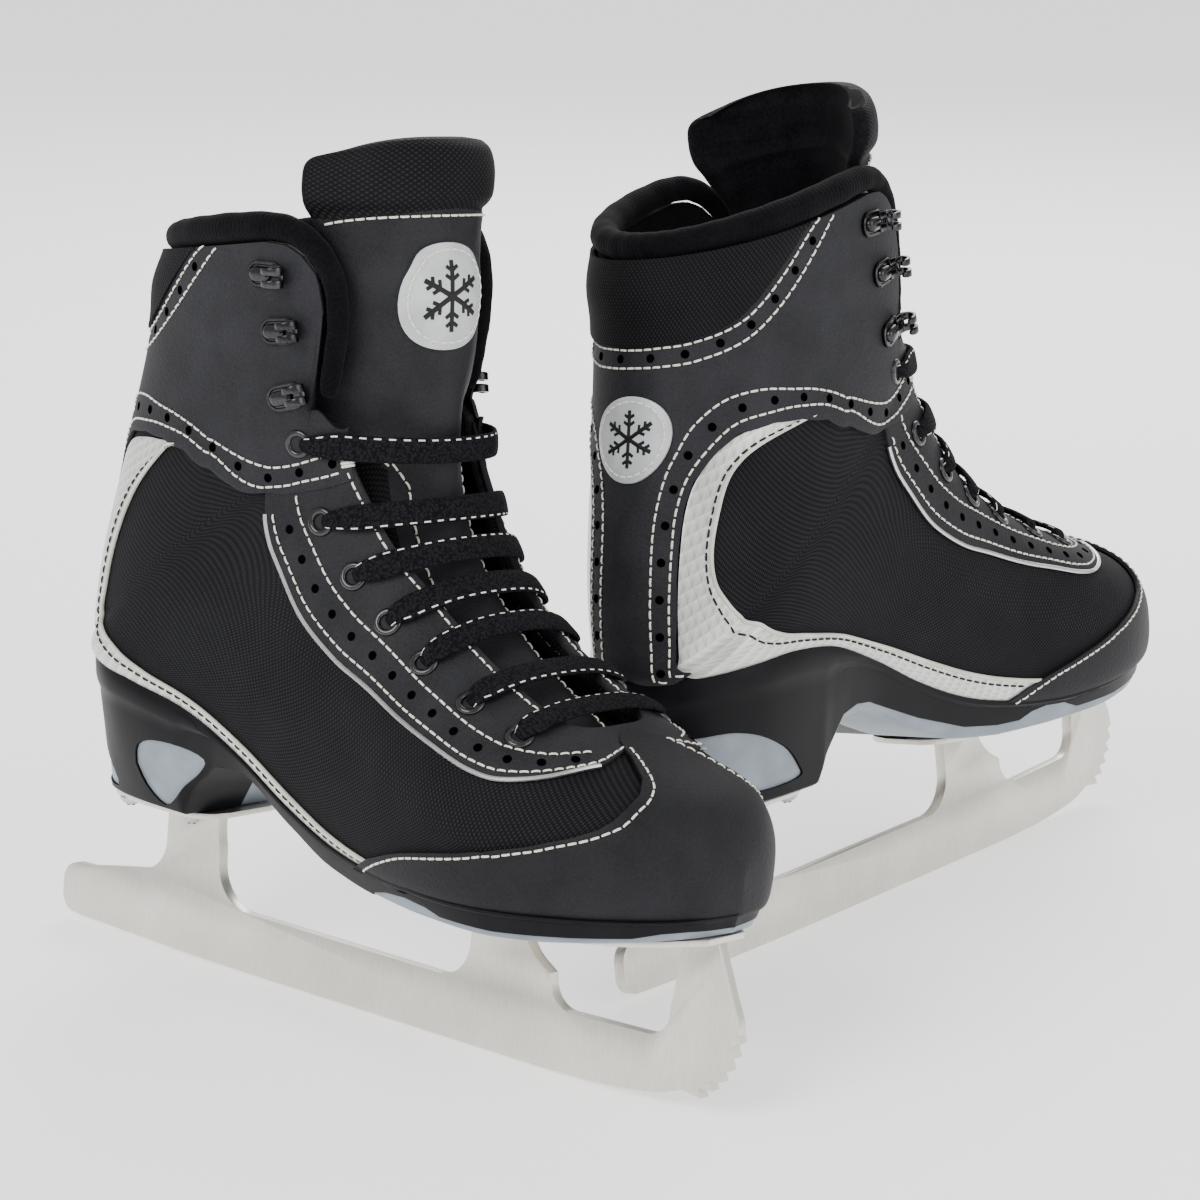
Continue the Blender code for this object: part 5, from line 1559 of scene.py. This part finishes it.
def make_studio():
    """Pale seamless floor, soft lights and the camera."""
    mesh = bpy.data.meshes.new("floor")
    corners = ((-1, -1), (1, -1), (1, 1), (-1, 1))
    mesh.from_pydata([(x * FLOOR_HALF, y * FLOOR_HALF, FLOOR_Z) for x, y in corners], [], [(0, 1, 2, 3)])
    mesh.materials.append(Look("studio_floor", (0.9, 0.9, 0.9), 0.8, **FLOOR_GLOW).made)
    in_scene("floor", mesh)
    world = bpy.data.worlds.new("studio")
    world.use_nodes = True
    sky = world.node_tree.nodes["Background"].inputs
    sky["Color"].default_value = (1, 1, 1, 1)
    sky["Strength"].default_value = WORLD_STRENGTH
    bpy.context.scene.world = world
    for name, (spot, target, size, power) in LIGHTS.items():
        data = bpy.data.lights.new(name, "AREA")
        data.size = size
        data.energy = power
        light = in_scene(name, data)
        light.location = spot
        light.rotation_euler = (Vector(target) - Vector(spot)).to_track_quat("-Z", "Y").to_euler()
    data = bpy.data.cameras.new("camera")
    data.lens = CAMERA["lens"]
    data.sensor_width = 36.0
    camera = in_scene("camera", data)
    camera.location = CAMERA["at"]
    camera.rotation_euler = (math.radians(CAMERA["tilt"]), 0, 0)
    bpy.context.scene.camera = camera


# ---------------------------------------------------------------- main


def make_looks():
    return dict(
        steel=metal("brushed_steel", (0.56, 0.53, 0.48), (0.74, 0.71, 0.65), 0.36, (1, 1, 0.08)),
        screw=metal("screw_steel", (0.4, 0.4, 0.4), (0.6, 0.6, 0.6), 0.35),
        rubber=moulded("sole_rubber", (0.003, 0.003, 0.004), 0.42, shine=0.12),
        grey=moulded("grey_core", (0.16, 0.19, 0.22), 0.4),
        nylon=woven("quarter_nylon", (0.0015, 0.0015, 0.002), (0.02, 0.02, 0.025), 1.05),
        collar_nylon=woven("collar_nylon", (0.001, 0.001, 0.0014), (0.016, 0.016, 0.02), 1.05),
        tongue_nylon=woven("tongue_nylon", (0.0012, 0.0012, 0.0016), (0.018, 0.018, 0.022), 1.2),
        lining=felt("boot_lining", (0.001, 0.001, 0.0015), (0.008, 0.008, 0.01), 3.0),
        felt=felt("collar_felt", (0.0006, 0.0006, 0.0009), (0.005, 0.005, 0.007), 1.6),
        tongue_lining=felt("tongue_lining", (0.001, 0.001, 0.0015), (0.008, 0.008, 0.01), 3.5),
        cuff=grained("cuff_leather", (0.008, 0.008, 0.01), (0.02, 0.02, 0.024)),
        stay=grained("eyestay_leather", (0.006, 0.006, 0.008), (0.018, 0.018, 0.021)),
        cap=grained("toe_leather", (0.003, 0.003, 0.004), (0.011, 0.011, 0.014), 0.58),
        tongue=grained("tongue_leather", (0.006, 0.006, 0.008), (0.017, 0.017, 0.02)),
        silver=pearl("silver_foxing"),
        patch=moulded("silver_patch", (0.4, 0.41, 0.42), 0.4, 0.2),
        piping=metal("silver_piping", (0.4, 0.4, 0.4), (0.75, 0.75, 0.74), 0.28),
        cream=moulded("cream_edge", (0.5, 0.48, 0.42), 0.45, 0.1, 0.05),
        white=thread("white_thread", (0.78, 0.75, 0.66)),
        # black thread and snowflakes, and painted shade in the screws' cross slots
        dark=moulded("dark_thread_and_recess_shade", (0.001, 0.001, 0.001), 0.5, shine=0.3),
        # painted shade: near-black buttons with no shine stand for the shade inside the punched holes, over the black
        # layer beneath them
        hole_shade=moulded("punched_hole_shade", (0.0004, 0.0004, 0.0004), 0.9, shine=0.0),
        lace=lace_look("lace_braid"),
        enamel=moulded("black_enamel", (0.002, 0.002, 0.002), 0.2, 0.2, 0.01),
        gunmetal=metal("gunmetal", (0.012, 0.012, 0.013), (0.07, 0.07, 0.073), 0.2),
        footbed=felt("footbed_cloth", (0.004, 0.004, 0.005), (0.02, 0.02, 0.024), 2.0),
    )


def make_skate(name, looks):
    skate = Skate(name)
    for make in (
        make_blade, make_screws, make_sole, make_insole, make_quarters, make_cuff, make_collar_panel, make_toe_cap,
        make_eyestay, make_foxing, make_seams, make_collar, make_tongue,
    ):
        make(skate, looks)
    make_badge(skate, looks, "tongue", 16.0)
    make_badge(skate, looks, "back", 13.5)
    make_lace(skate, looks)
    make_hooks(skate, looks)


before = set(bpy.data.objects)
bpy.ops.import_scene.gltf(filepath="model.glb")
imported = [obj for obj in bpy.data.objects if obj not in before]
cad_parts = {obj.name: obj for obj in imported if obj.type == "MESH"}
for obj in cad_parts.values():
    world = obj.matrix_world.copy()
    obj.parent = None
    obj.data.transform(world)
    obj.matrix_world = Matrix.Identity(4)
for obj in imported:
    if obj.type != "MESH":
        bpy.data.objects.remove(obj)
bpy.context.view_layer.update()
make_studio()
materials = make_looks()
for which in PLACES:
    make_skate(which, materials)
